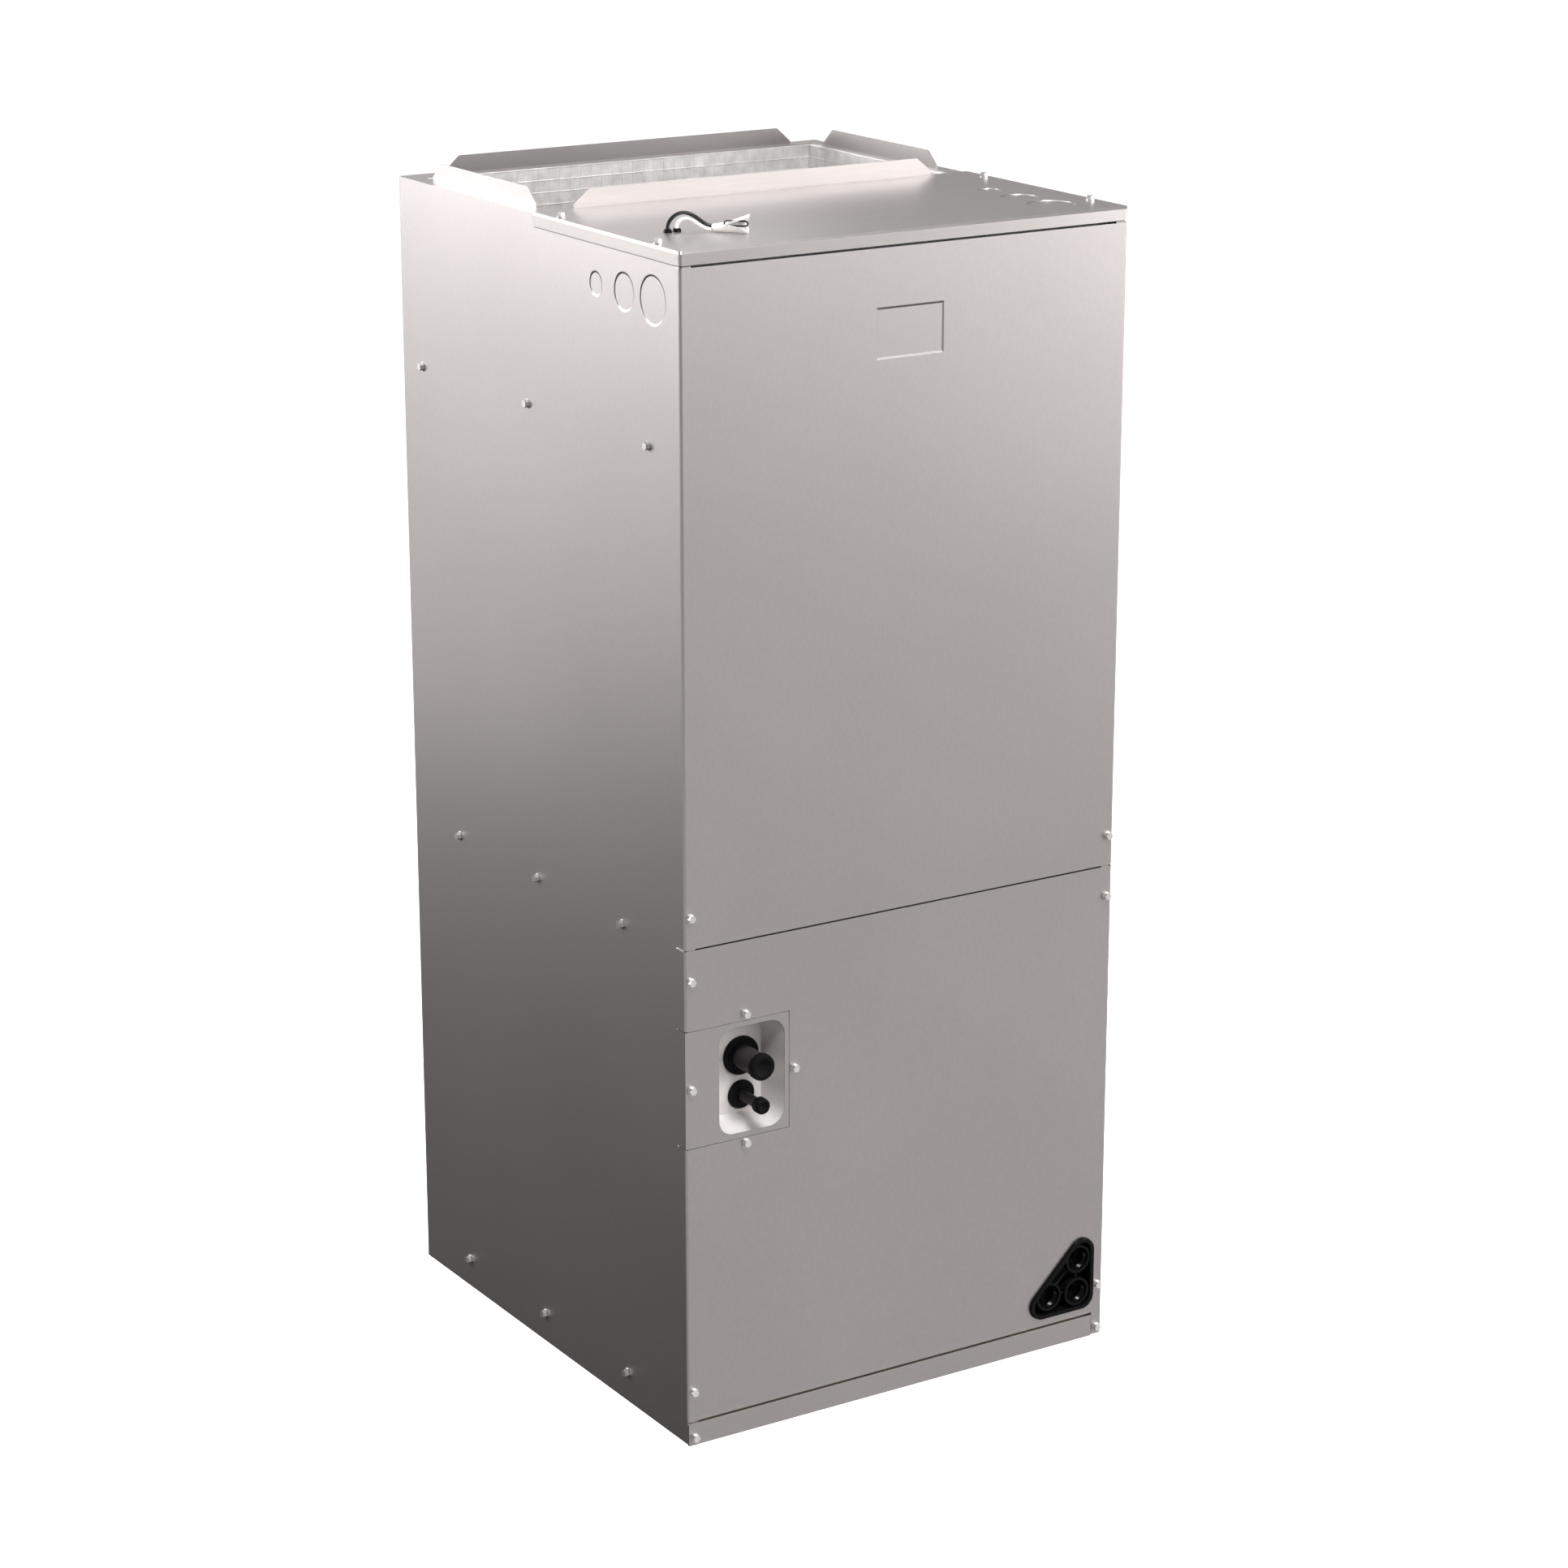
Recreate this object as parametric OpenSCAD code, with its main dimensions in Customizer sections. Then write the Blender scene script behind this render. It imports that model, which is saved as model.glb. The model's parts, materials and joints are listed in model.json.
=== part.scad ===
// Upright residential air handler in a folded sheet steel cabinet, air drawn in below and blown out above.
// Origin at the middle of the footprint on the floor, +Z up, front panels towards -Y, millimetres.

/* [Cabinet] */
// Overall width across the front panels
cabinet_w = 487; // [480:1:560]
// Overall depth from the front panels to the back sheet
cabinet_d = 539; // [536:1:600]
// Height from the floor to the top face of the top cover
cabinet_h = 1143; // [1130:1:1220]
// Thickness of the steel sheet
sheet = 1; // [0.8:0.1:1.4]
// Outside radius of a fold in the sheet
fold_r = 2.6; // [2:0.2:4]
// Gap between pieces that fit together
fit_gap = 0.3; // [0.2:0.05:0.5]
// Width of the seam between two front panels
seam = 1.6; // [1:0.2:3]
// Width of the wrapper's front returns
front_return_w = 11; // [10.5:0.5:11.5]
// Width of the wrapper's bottom returns
base_return_w = 25; // [22:1:32]
// Thickness of the insulation boards on the wrapper
insulation_t = 19; // [15:1:20]

/* [Duct opening] */
// Distance from the cabinet's side or back to the duct opening
top_return_w = 18.5; // [16:0.5:24]
// Distance from the front to the duct opening
duct_front = 264.5; // [255:0.5:280]
// Height of the folded up duct flanges above the top cover
duct_flange_h = 18; // [14:1:30]
// Cut-back of the duct flanges at their ends
flange_chamfer = 16; // [10:1:20]
// Distance from the duct opening's corners to the ends of the flanges
flange_end_gap = 25; // [20:1:32]

/* [Top cover] */
// Depth of the top cover's folded down edge
cover_skirt = 13; // [10:1:18]
// Gap between the skirt and the upper panel
cover_gap = 2.2; // [1.5:0.1:4]
// Distance from the front to the two cover screws on each side
cover_screw_d = [49, 223.5];

/* [Knockouts] */
// Radii of the round conduit knockouts, largest nearest the front
knockout_r = [22.2, 17.4, 11.1];
// Distance from the front to the largest knockout
knockout_front = 48.6; // [40:0.2:60]
// Spacing of the knockouts
knockout_pitch = 50.8; // [46:0.2:60]
// Height of the side knockouts below the top
knockout_drop = 50; // [42:1:60]
// Distance of the top knockouts from the right side
knockout_side = 53.5; // [45:0.5:70]
// Step of a knockout below the surface
knockout_step = 0.5; // [0.3:0.1:0.6]
// Width of the breaker knockout in the upper panel
breaker_w = 72; // [50:1:90]
// Height of the breaker knockout
breaker_h = 46; // [30:1:50]
// Height of the breaker knockout's middle below the top
breaker_drop = 93; // [85:1:110]

/* [Front panels] */
// Height of the seam between the upper and the lower panel
split_z = 498; // [490:1:510]
// Height of the lower panel's bottom edge
lower_panel_z = 24.4; // [23.5:0.1:26]
// Width of the panels' side returns
side_return_w = 16; // [12:1:20]
// Width of the panels' top and bottom returns
edge_return_w = 12; // [8:1:14]
// Distance of the panel screws from the cabinet's side
panel_screw_side = 6.5; // [6:0.5:8]
// Distance of the panel screws from the seam
panel_screw_seam = 31; // [20:1:40]
// Height of the lowest panel screws
low_screw_z = 54.5; // [50:0.5:60]
// Height of the filter cover's screws
cover_strip_screw_z = 7.8; // [7:0.1:12]
// Thickness of the insulation on the panels
panel_insulation_t = 10; // [6:1:11]

/* [Inner frame] */
// Height of the screws in the blower deck
deck_screw_z = 960; // [940:1:975]
// Distances from the front to the blower deck's screws
deck_screw_d = [59.5, 283.5, 497.5];
// Height of the screws in the middle rails
mid_screw_z = 491; // [488:1:500]
// Height of the screws in the base rails
base_screw_z = 30; // [29:0.5:34]
// Distances from the front to the rail screws
rail_screw_d = [117.5, 281.5, 442.5];
// Height of the flange at the deck's edge
deck_flange_h = 24; // [20:1:30]
// Height of the top of the base rails, where the drain pan rests
pan_seat_z = 46; // [44:0.5:48]

/* [Filter] */
// Thickness of the filter
filter_t = 19.5; // [15:0.5:20]
// Distance from the filter to the back
filter_back = 24.4; // [20:0.2:50]
// Number of pleats
pleats = 28; // [16:1:36]
// Side clearance of the filter between the front returns
filter_side_gap = 3; // [1:0.5:6]

/* [Blower] */
// Diameter of the blower wheel
wheel_d = 254; // [230:1:258]
// Width of the blower wheel
wheel_w = 203; // [180:1:210]
// Width of the blower housing between its side plates
housing_w = 230; // [222:1:250]
// Height of the wheel's axis above the floor
wheel_z = 735; // [725:1:745]
// Distance from the back to the wheel's axis
wheel_back = 239.5; // [239:0.5:249]
// Blades in each of the two rows
blades = 36; // [24:1:44]
// Radial length of a blade
blade_l = 22; // [16:1:26]
// Diameter of the motor's shell
motor_d = 140; // [120:1:150]
// Length of the motor's shell
motor_l = 128; // [110:1:135]
// Radius of the motor shaft
shaft_r = 6.35; // [5:0.05:8]
// Running clearance of the shaft
shaft_gap = 0.06; // [0.02:0.01:0.1]
// Least gap between the wheel and the scroll, at the cut-off
cutoff_gap = 9; // [6:1:14]
// Greatest gap between the wheel and the scroll, at the outlet
outlet_gap = 79; // [70:1:82]

/* [Coil] */
// Lean of the coil slabs from upright
coil_lean = 21.8; // [18:0.2:24]
// Thickness of a fin pack
coil_t = 44; // [36:1:50]
// Distance from the fin packs to the back
coil_back = 47; // [46:1:70]
// Distance of a slab's foot from the middle
coil_foot_x = 178; // [170:1:184]
// Distance from the front to the fin packs
coil_front = 54; // [52:1:62]
// Spacing of the tubes along a slab
tube_pitch = 25.4; // [22:0.2:28]
// Outside radius of the coil tubes
tube_r = 4.76; // [4:0.02:5.2]

/* [Drain pan] */
// Height of the pan's outer wall
pan_h = 54; // [48:1:60]
// Thickness of the pan's walls
pan_wall = 3; // [2:0.5:4]
// Width of the trough under a slab
trough_w = 122; // [112:1:126]
// Width of the front and back troughs
end_trough_w = 40; // [30:1:50]
// Outer size of the triangular drain connection
drain_w = 76; // [70:1:80]
// Distance of the drain connection from the right side
drain_side = 12.8; // [12.8:0.2:20]
// Height of the drain connection's lower edge
drain_z = 33; // [32:0.5:36]
// Corner radius of the drain connection
drain_corner = 14; // [12:0.5:17]
// How far the drain connection stands out of the lower panel
drain_proud = 3; // [1:0.5:6]
// Radius of a drain port's thread
port_r = 12.3; // [10:0.1:13]
// Depth of a drain port
port_depth = 13; // [10:1:14]

/* [Tubing panel] */
// Width of the tubing panel
tubing_w = 113; // [106:1:125]
// Height of the tubing panel
tubing_h = 115.5; // [110:0.5:125]
// Height of the tubing panel's middle
tubing_z = 360.5; // [355:0.5:365]
// Depth of the dish round the refrigerant stubs
dish_depth = 28; // [20:1:30]
// Width of the dish at its mouth
dish_w = 72; // [66:1:76]
// Height of the dish at its mouth
dish_h = 106; // [100:1:107]
// Inward slope of the dish's walls over its depth
dish_draft = 9; // [5:0.5:10]
// Distance from the cabinet's left side to the stubs
stub_side = 77; // [74:0.5:80]
// Height of the suction stub
suction_z = 373; // [371:0.5:376]
// Height of the liquid stub
liquid_z = 334; // [331:0.5:335]
// Radius of the suction stub
suction_r = 11.1; // [9.5:0.1:11.1]
// Radius of the liquid stub
liquid_r = 4.76; // [4:0.02:6]
// How far the stubs' caps stand out of the front
stub_proud = 13.5; // [10:0.5:30]
// Radius of the suction grommet's flange
suction_grommet_r = 19.3; // [17:0.1:19.5]
// Radius of the liquid grommet's flange
liquid_grommet_r = 14.3; // [12:0.1:16]

/* [Low voltage leads] */
// Distance from the left side to the first lead
lead_side = 45.5; // [40:0.5:60]
// Distance from the front to the leads
lead_front = 96.5; // [80:0.5:110]
// Diameter of a lead
lead_d = 3.6; // [3:0.1:4]
// Spacing of the two leads
lead_pitch = 9.6; // [9.2:0.1:12]

/* [Hidden] */
$fn = 48;
eps = 0.01;

// Cabinet faces
half_w = cabinet_w / 2;
front_y = -cabinet_d / 2;
back_y = cabinet_d / 2;
wrap_x = half_w - sheet - fit_gap;
wrap_in = wrap_x - sheet;
wrap_front = front_y + sheet + fit_gap;
wrap_back_in = back_y - sheet;
wrap_top = cabinet_h - sheet;
return_x = wrap_x - front_return_w;
rail_front = front_y + edge_return_w + 2 * fit_gap;

// Duct opening
duct_x = half_w - top_return_w;
duct_y0 = front_y + duct_front;
duct_y1 = back_y - top_return_w;
flange_top = cabinet_h + duct_flange_h;

// Panel screws, as [x, z]
panel_screw_x = half_w - panel_screw_side;
upper_screws = [for (s = [-1, 1]) [s * panel_screw_x, split_z + panel_screw_seam]];
lower_corner_screws = [
    for (s = [-1, 1]) for (z = [split_z - panel_screw_seam, low_screw_z]) [s * panel_screw_x, z]];
strip_screw = [-panel_screw_x, cover_strip_screw_z];
tubing_left = -half_w;
tubing_right = tubing_left + tubing_w;
tubing_flange_w = 12;
tubing_screw_gap = 6.5;
tubing_screw_x = tubing_left + 65.6;
dish_x = -half_w + stub_side - 4.5;
tubing_flange_screws = [
    [tubing_screw_x, tubing_z + tubing_h / 2 + tubing_screw_gap],
    [tubing_screw_x, tubing_z - tubing_h / 2 - tubing_screw_gap],
    [tubing_right + tubing_screw_gap, tubing_z],
];
tubing_corner_screw = [-panel_screw_x, tubing_z];
lower_screws = concat(lower_corner_screws, tubing_flange_screws, [[panel_screw_x, cover_strip_screw_z]]);

// Screws, hexagon heads with a washer
screw_washer_r = 4.5;
screw_head_r = 3.8;
screw_head_h = 3.2;
screw_washer_h = 1;
screw_shank_r = 1.9;
screw_hole_r = 2.1;
screw_l = 11;

// Inner frame levels
deck_z = deck_screw_z - deck_flange_h / 2;
filter_z = sheet + fit_gap;
filter_top = filter_z + filter_t;
filter_half = return_x - filter_side_gap;
filter_y0 = rail_front - 6;
filter_y1 = back_y - filter_back;
base_rail_z = filter_top + 0.6;
mid_rail_h = 36;
top_rail_h = 34;
rail_leg = 11;
mid_rail_z = split_z - mid_rail_h / 2;
mid_angle_w = 20;
insulation_x = wrap_in - insulation_t;
insulation_y = wrap_back_in - insulation_t;
insulation_front = wrap_front + 13;
plenum_y = duct_y0 - 2.5;

// Blower
wheel_r = wheel_d / 2;
wheel_y = back_y - wheel_back;
housing_x = housing_w / 2;
scroll_r0 = wheel_r + cutoff_gap;
scroll_r1 = wheel_r + outlet_gap;
cutoff_a = 75;
scroll_steps = 40;
inlet_r = wheel_r - blade_l + 4;
inlet_curl = 12;
motor_x = 22;

// Coil
tray_x = wrap_in - 0.5;
tray_y0 = rail_front + fit_gap;
tray_y1 = wrap_back_in - 2;
pan_floor = pan_seat_z + pan_wall;
coil_z = pan_floor + fit_gap + coil_t / 2 * sin(coil_lean);
coil_l = (coil_foot_x - coil_t / 2 * cos(coil_lean) - 1) / sin(coil_lean);
coil_y0 = front_y + coil_front;
coil_y1 = back_y - coil_back;
coil_d = coil_y1 - coil_y0;
tube_rows = [-tube_pitch * 0.44, tube_pitch * 0.44];
tubes = floor((coil_l - 14) / tube_pitch);
function tube_at(i) = 12 + i * tube_pitch;

// Drain connection, a triangle with its square corner at the lower right
drain_x1 = half_w - drain_side;
drain_x0 = drain_x1 - drain_w;
drain_centres = [
    [drain_x0 + drain_corner, drain_z + drain_corner],
    [drain_x1 - drain_corner, drain_z + drain_corner],
    [drain_x1 - drain_corner, drain_z + drain_w - drain_corner],
];
drain_y = front_y - drain_proud;
port_inset = 20;
ports = [
    [drain_x1 - 20, drain_z + port_inset],
    [drain_x0 + 22, drain_z + port_inset + 2],
    [drain_x1 - 19, drain_z + drain_w - 21],
];

// Refrigerant stubs
stub_x = -half_w + stub_side;
dish_back = front_y + dish_depth;
grommet_neck = 3;
stub_end = front_y - stub_proud;
cap_wall = 2;
liquid_cap_wall = 3.2;
suction_cap_l = 16;
liquid_cap_l = 14;
stub_wall = 1;

// Leads: the two exits and the routes of the free stretches
lead_x = -half_w + lead_side;
lead_y = front_y + lead_front;
bushing_r = 4.2;
bushing_h = 3;
lead_z = cabinet_h + bushing_h;
black_route = [
    [0, 0, 0], [0, 0, 3], [1.2, -0.4, 6.2], [3.2, -1.3, 9.3], [6, -2.6, 12], [9.4, -4.2, 13.9],
    [13.2, -6, 14.5], [17, -7.9, 13.8], [20.6, -9.6, 12], [24, -11.2, 9.5], [27.2, -12.7, 6.8],
    [30.2, -14.1, 4.4], [33, -15.5, 2.9], [35.8, -17, 2.2],
];
white_route = [
    [0, 0, 0], [0, 0, 2.4], [0.8, -0.8, 4.8], [2.1, -2, 7], [4.2, -3.8, 8.6], [6.9, -6.1, 9],
    [9.9, -8.6, 7.9], [12.8, -11.1, 5.6], [15.6, -13.4, 3.3], [18.3, -15.7, 1.4], [21, -18, 0.1],
    [24.05, -20.4, -0.6],
];
lead_sides = 8;

// Sleeve over the leads' ends, its neck and its flared mouth as [width, height]
sleeve_at = [lead_x + 35, lead_y - 19];
sleeve_turn = 32.2;
sleeve_l = 34;
sleeve_wall = 0.8;
sleeve_neck = [8, 7];
sleeve_mouth = [10, 20];

// General shapes

module block(a, b) {
    translate(a) cube(b - a);
}

module along_x(x0, x1) {
    translate([x0, 0, 0]) rotate([90, 0, 90]) linear_extrude(x1 - x0) children();
}

module along_y(y0, y1) {
    translate([0, y1, 0]) rotate([90, 0, 0]) linear_extrude(y1 - y0) children();
}

module both_sides() {
    children();
    mirror([1, 0, 0]) children();
}

module rounded_rect(a, b, r) {
    translate([a.x + r, a.y]) square([b.x - a.x - 2 * r, b.y - a.y]);
    translate([a.x, a.y + r]) square([b.x - a.x, b.y - a.y - 2 * r]);
    for (x = [a.x + r, b.x - r]) for (y = [a.y + r, b.y - r]) translate([x, y]) circle(r);
}

// Outline with round corners of radius r about a convex, counter-clockwise list of centres
module round_outline(centres, r) {
    n = len(centres);
    normal = [for (i = [0:n - 1]) let (e = centres[(i + 1) % n] - centres[i]) [e.y, -e.x] / norm(e)];
    for (c = centres) translate(c) circle(r);
    polygon([for (i = [0:n - 1]) for (k = [0, 1]) centres[(i + k) % n] + r * normal[i]]);
}

// Cylinder from one point to another
function basis(d) = let (u = abs(d.z) < 0.9 ? [0, 0, 1] : [1, 0, 0], a = cross(u, d), v = a / norm(a))
    [v, cross(d, v), d];

module place(x, y, z, at) {
    multmatrix([[x.x, y.x, z.x, at.x], [x.y, y.y, z.y, at.y], [x.z, y.z, z.z, at.z]]) children();
}

module rod(from, to, r) {
    d = (to - from) / norm(to - from);
    b = basis(d);
    place(b[0], b[1], d, from) cylinder(h = norm(to - from), r = r);
}

// Round pipe through a list of points with bends of one radius, a bend a little thicker than the straights
elbow_t = 0.15;
elbow_lap = 0.5;
module pipe(points, r, bend) {
    n = len(points);
    dirs = [for (i = [0:n - 2]) let (d = points[i + 1] - points[i]) d / norm(d)];
    turn = [for (i = [0:n - 1]) i == 0 || i == n - 1 ? 0 : acos(dirs[i - 1] * dirs[i])];
    cut = [for (t = turn) bend * tan(t / 2)];
    lap = [for (t = turn) t > 0 ? elbow_lap : 0];
    for (i = [0:n - 2])
        rod(points[i] + dirs[i] * (cut[i] - lap[i]), points[i + 1] - dirs[i] * (cut[i + 1] - lap[i + 1]), r);
    for (i = [1:1:n - 2]) {
        a = dirs[i - 1];
        side = dirs[i] - a * (a * dirs[i]);
        inward = side / norm(side);
        centre = points[i] - a * cut[i] + inward * bend;
        place(-inward, a, cross(-inward, a), centre)
            rotate_extrude(angle = turn[i]) translate([bend, 0]) circle(r + elbow_t);
    }
}

// Tube swept along a route as one closed surface
function route_dir(p, i) = let (a = p[max(i - 1, 0)], b = p[min(i + 1, len(p) - 1)]) (b - a) / norm(b - a);
module soft_tube(route, d, start) {
    n = len(route);
    rings = [for (i = [0:n - 1])
        let (t = route_dir(route, i), u = cross([0, 1, 0], t), e = u / norm(u), f = cross(t, e))
        for (k = [0:lead_sides - 1])
            start + route[i] + d / 2 * (cos(360 * k / lead_sides) * e + sin(360 * k / lead_sides) * f)];
    sides = [for (i = [0:n - 2]) for (k = [0:lead_sides - 1])
        let (a = i * lead_sides + k, b = i * lead_sides + (k + 1) % lead_sides)
        each [[a, a + lead_sides, b], [b, a + lead_sides, b + lead_sides]]];
    first = [for (k = [1:lead_sides - 2]) [0, k, k + 1]];
    end = (n - 1) * lead_sides;
    last = [for (k = [1:lead_sides - 2]) [end, end + k + 1, end + k]];
    polyhedron(rings, concat(sides, first, last), convexity = 4);
}

// Hexagon head screw standing on the XY plane with its shank below
module hex_screw() {
    cylinder(h = screw_washer_h, r = screw_washer_r);
    cylinder(h = screw_head_h + screw_washer_h, r = screw_head_r, $fn = 6);
    translate([0, 0, -screw_l]) cylinder(h = screw_l + eps, r = screw_shank_r);
}

module front_screws(points, y) {
    for (p = points) translate([p.x, y, p.y]) rotate([90, 0, 0]) hex_screw();
}

module front_holes(points, r = screw_hole_r) {
    for (p = points) translate([p.x, front_y - 5, p.y]) rotate([-90, 0, 0]) cylinder(h = 25, r = r);
}

function depth_y(d) = front_y + d;
side_screw_points = concat(
    [for (d = deck_screw_d) [depth_y(d), deck_screw_z]],
    [for (d = rail_screw_d) [depth_y(d), mid_screw_z]],
    [for (d = rail_screw_d) [depth_y(d), base_screw_z]]);

module side_holes(points) {
    for (p = points) for (s = [-1, 1])
        translate([s * wrap_x, p.x, p.y]) rotate([0, s * 90, 0])
            translate([0, 0, -screw_l - 2]) cylinder(h = screw_l + 6, r = screw_hole_r);
}

cover_screw_x = half_w - 7.5;
module cover_holes() {
    for (d = cover_screw_d) for (s = [-1, 1])
        translate([s * cover_screw_x, depth_y(d), cabinet_h - 15]) cylinder(h = 20, r = screw_hole_r);
}

// Round knockout, a disc half sheared below the surface, its outer face on the XY plane facing +Z
module knockout_cut(r) {
    translate([0, 0, -knockout_step]) cylinder(h = knockout_step + 1, r = r);
}

module knockout_slug(r) {
    translate([0, 0, -sheet - knockout_step]) cylinder(h = sheet, r = r);
}

module side_knockouts(cut) {
    for (i = [0:len(knockout_r) - 1]) for (s = [-1, 1])
        translate([s * wrap_x, depth_y(knockout_front + i * knockout_pitch), cabinet_h - knockout_drop])
            rotate([0, s * 90, 0])
                if (cut) knockout_cut(knockout_r[i]);
                else knockout_slug(knockout_r[i]);
}

module top_knockouts(cut) {
    for (i = [0:len(knockout_r) - 1])
        translate([half_w - knockout_side, depth_y(knockout_front + i * knockout_pitch), cabinet_h])
            if (cut) knockout_cut(knockout_r[i]);
            else knockout_slug(knockout_r[i]);
}

// Outline of a duct flange of a given half length, seen square on, standing on height 0
module flange_outline(half, h) {
    lip = 4;
    polygon([[-half, -sheet], [half, -sheet], [half, lip], [half - flange_chamfer, h],
        [flange_chamfer - half, h], [-half, lip]]);
}

// Cabinet sheet metal

module wrapper_plan() {
    difference() {
        rounded_rect([-wrap_x, wrap_front], [wrap_x, back_y], fold_r);
        rounded_rect([-wrap_in, wrap_front + sheet], [wrap_in, wrap_back_in], fold_r - sheet);
        translate([-return_x, wrap_front - 1]) square([2 * return_x, sheet + 2]);
    }
}

module cabinet_wrapper() {
    color("silver") difference() {
        union() {
            linear_extrude(wrap_top) wrapper_plan();
            linear_extrude(sheet) difference() {
                rounded_rect([-wrap_x, wrap_front], [wrap_x, back_y], fold_r);
                translate([base_return_w - wrap_x, wrap_front + base_return_w])
                    square([2 * (wrap_x - base_return_w), back_y - wrap_front - 2 * base_return_w]);
            }
            translate([0, 0, wrap_top - sheet]) linear_extrude(sheet) difference() {
                rounded_rect([-wrap_x, wrap_front], [wrap_x, back_y], fold_r);
                translate([-duct_x, wrap_front - 1]) square([2 * duct_x, duct_y1 - wrap_front + 1]);
            }
            duct_mid = (duct_y0 + duct_y1) / 2;
            duct_half = (duct_y1 - duct_y0) / 2 - flange_end_gap;
            both_sides() along_x(duct_x, duct_x + sheet) translate([duct_mid, wrap_top])
                flange_outline(duct_half, duct_flange_h);
            along_y(duct_y1, duct_y1 + sheet) translate([0, wrap_top])
                flange_outline(duct_x - flange_end_gap, duct_flange_h);
            side_knockouts(false);
        }
        side_knockouts(true);
        side_holes(side_screw_points);
        cover_holes();
        front_holes(concat(upper_screws, lower_screws, [strip_screw, tubing_corner_screw]));
    }
}

module top_cover() {
    color("gainsboro") difference() {
        union() {
            difference() {
                translate([0, 0, cabinet_h - cover_skirt]) linear_extrude(cover_skirt) difference() {
                    rounded_rect([-half_w, front_y], [half_w, duct_y0 + 30], fold_r);
                    translate([-half_w - 1, duct_y0]) square([cabinet_w + 2, 40]);
                }
                translate([0, 0, cabinet_h - cover_skirt - 1]) linear_extrude(cover_skirt + 1 - sheet)
                    rounded_rect([sheet - half_w, front_y + sheet], [half_w - sheet, duct_y0 + 30],
                        fold_r - sheet);
            }
            along_y(duct_y0 - sheet, duct_y0) translate([0, cabinet_h])
                flange_outline(duct_x - flange_end_gap, duct_flange_h - sheet);
            top_knockouts(false);
        }
        top_knockouts(true);
        cover_holes();
        for (i = [0, 1]) translate([lead_x + i * lead_pitch, lead_y, cabinet_h - 5])
            cylinder(h = 10, r = lead_d / 2 + 1.2);
    }
}

// Insulation boards, glued to the wrapper between the rails
insulation_bands = [
    [pan_seat_z + pan_h + 4, mid_rail_z - 4, insulation_front],
    [mid_rail_z + mid_rail_h + 2, deck_z - 2, insulation_front],
    [deck_z + deck_flange_h + 4, wrap_top - sheet - fit_gap, plenum_y + 1],
];

module side_insulation() {
    for (b = insulation_bands) block([insulation_x, b[2], b[0]], [wrap_in, wrap_back_in - fold_r, b[1]]);
}

module insulation_left() {
    color("lightsteelblue") mirror([1, 0, 0]) side_insulation();
}

module insulation_right() {
    color("lightsteelblue") side_insulation();
}

module insulation_back() {
    x = insulation_x - fit_gap;
    color("lightsteelblue") for (b = insulation_bands)
        block([-x, insulation_y, b[0]], [x, wrap_back_in, b[1]]);
}

// Channel across the front, its web towards the front
module cross_rail(z0, z1, leg) {
    along_x(-wrap_in, wrap_in) difference() {
        translate([rail_front, z0]) square([leg, z1 - z0]);
        translate([rail_front + sheet, z0 + sheet]) square([leg, z1 - z0 - 2 * sheet]);
    }
}

module front_top_rail() {
    color("darkgray") cross_rail(wrap_top - sheet - top_rail_h, wrap_top - sheet, rail_leg);
}

module front_mid_rail() {
    color("darkgray") cross_rail(mid_rail_z, mid_rail_z + mid_rail_h, rail_leg);
}

module front_base_rail() {
    color("darkgray") along_x(-wrap_in, wrap_in) {
        translate([rail_front, base_rail_z]) square([sheet, pan_seat_z - base_rail_z]);
        translate([rail_front, base_rail_z]) square([20, sheet]);
    }
}

rail_y0 = rail_front + 22;

module mid_rail_right() {
    color("darkgray") difference() {
        along_y(rail_y0, wrap_back_in - fold_r) {
            translate([wrap_in - sheet, mid_rail_z]) square([sheet, mid_rail_h]);
            translate([wrap_in - mid_angle_w, mid_rail_z + mid_rail_h - sheet]) square([mid_angle_w, sheet]);
        }
        side_holes(side_screw_points);
    }
}

module mid_rail_left() {
    mirror([1, 0, 0]) mid_rail_right();
}

module base_rail_right() {
    color("darkgray") difference() {
        along_y(rail_y0, wrap_back_in - fold_r) {
            translate([wrap_in - sheet, base_rail_z]) square([sheet, pan_seat_z - base_rail_z]);
            translate([wrap_in - 40, pan_seat_z - sheet]) square([40, sheet]);
            translate([wrap_in - base_return_w, base_rail_z]) square([base_return_w, sheet]);
        }
        side_holes(side_screw_points);
    }
}

module base_rail_left() {
    mirror([1, 0, 0]) base_rail_right();
}

// Blower deck with the outlet opening, and the wall in front of the plenum
outlet_y0 = wheel_y + scroll_r0 * cos(cutoff_a);
outlet_y1 = wheel_y + scroll_r1;

module blower_deck() {
    deck_y0 = rail_front;
    color("darkgray") difference() {
        union() {
            block([-wrap_in, deck_y0, deck_z], [wrap_in, wrap_back_in, deck_z + sheet]);
            both_sides() block([wrap_in - sheet, deck_y0, deck_z],
                [wrap_in, wrap_back_in - fold_r, deck_z + deck_flange_h]);
            block([-wrap_in, deck_y0, deck_z - 14], [wrap_in, deck_y0 + sheet, deck_z + sheet]);
            block([-insulation_x, wrap_back_in - sheet, deck_z],
                [insulation_x, wrap_back_in, deck_z + deck_flange_h]);
        }
        both_sides() block([wrap_in - fold_r, wrap_back_in - fold_r, deck_z - 1],
            [wrap_in + 1, wrap_back_in + 1, deck_z + 2]);
        block([-housing_x, outlet_y0, deck_z - 1], [housing_x, outlet_y1, deck_z + 2]);
        side_holes(side_screw_points);
        translate([motor_lead_x, motor_lead_y, deck_z - 1]) cylinder(h = sheet + 2, r = motor_lead_r + fit_gap);
    }
}

heater_w = 220;
heater_h = 112;
heater_z = deck_z + 36;

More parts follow.
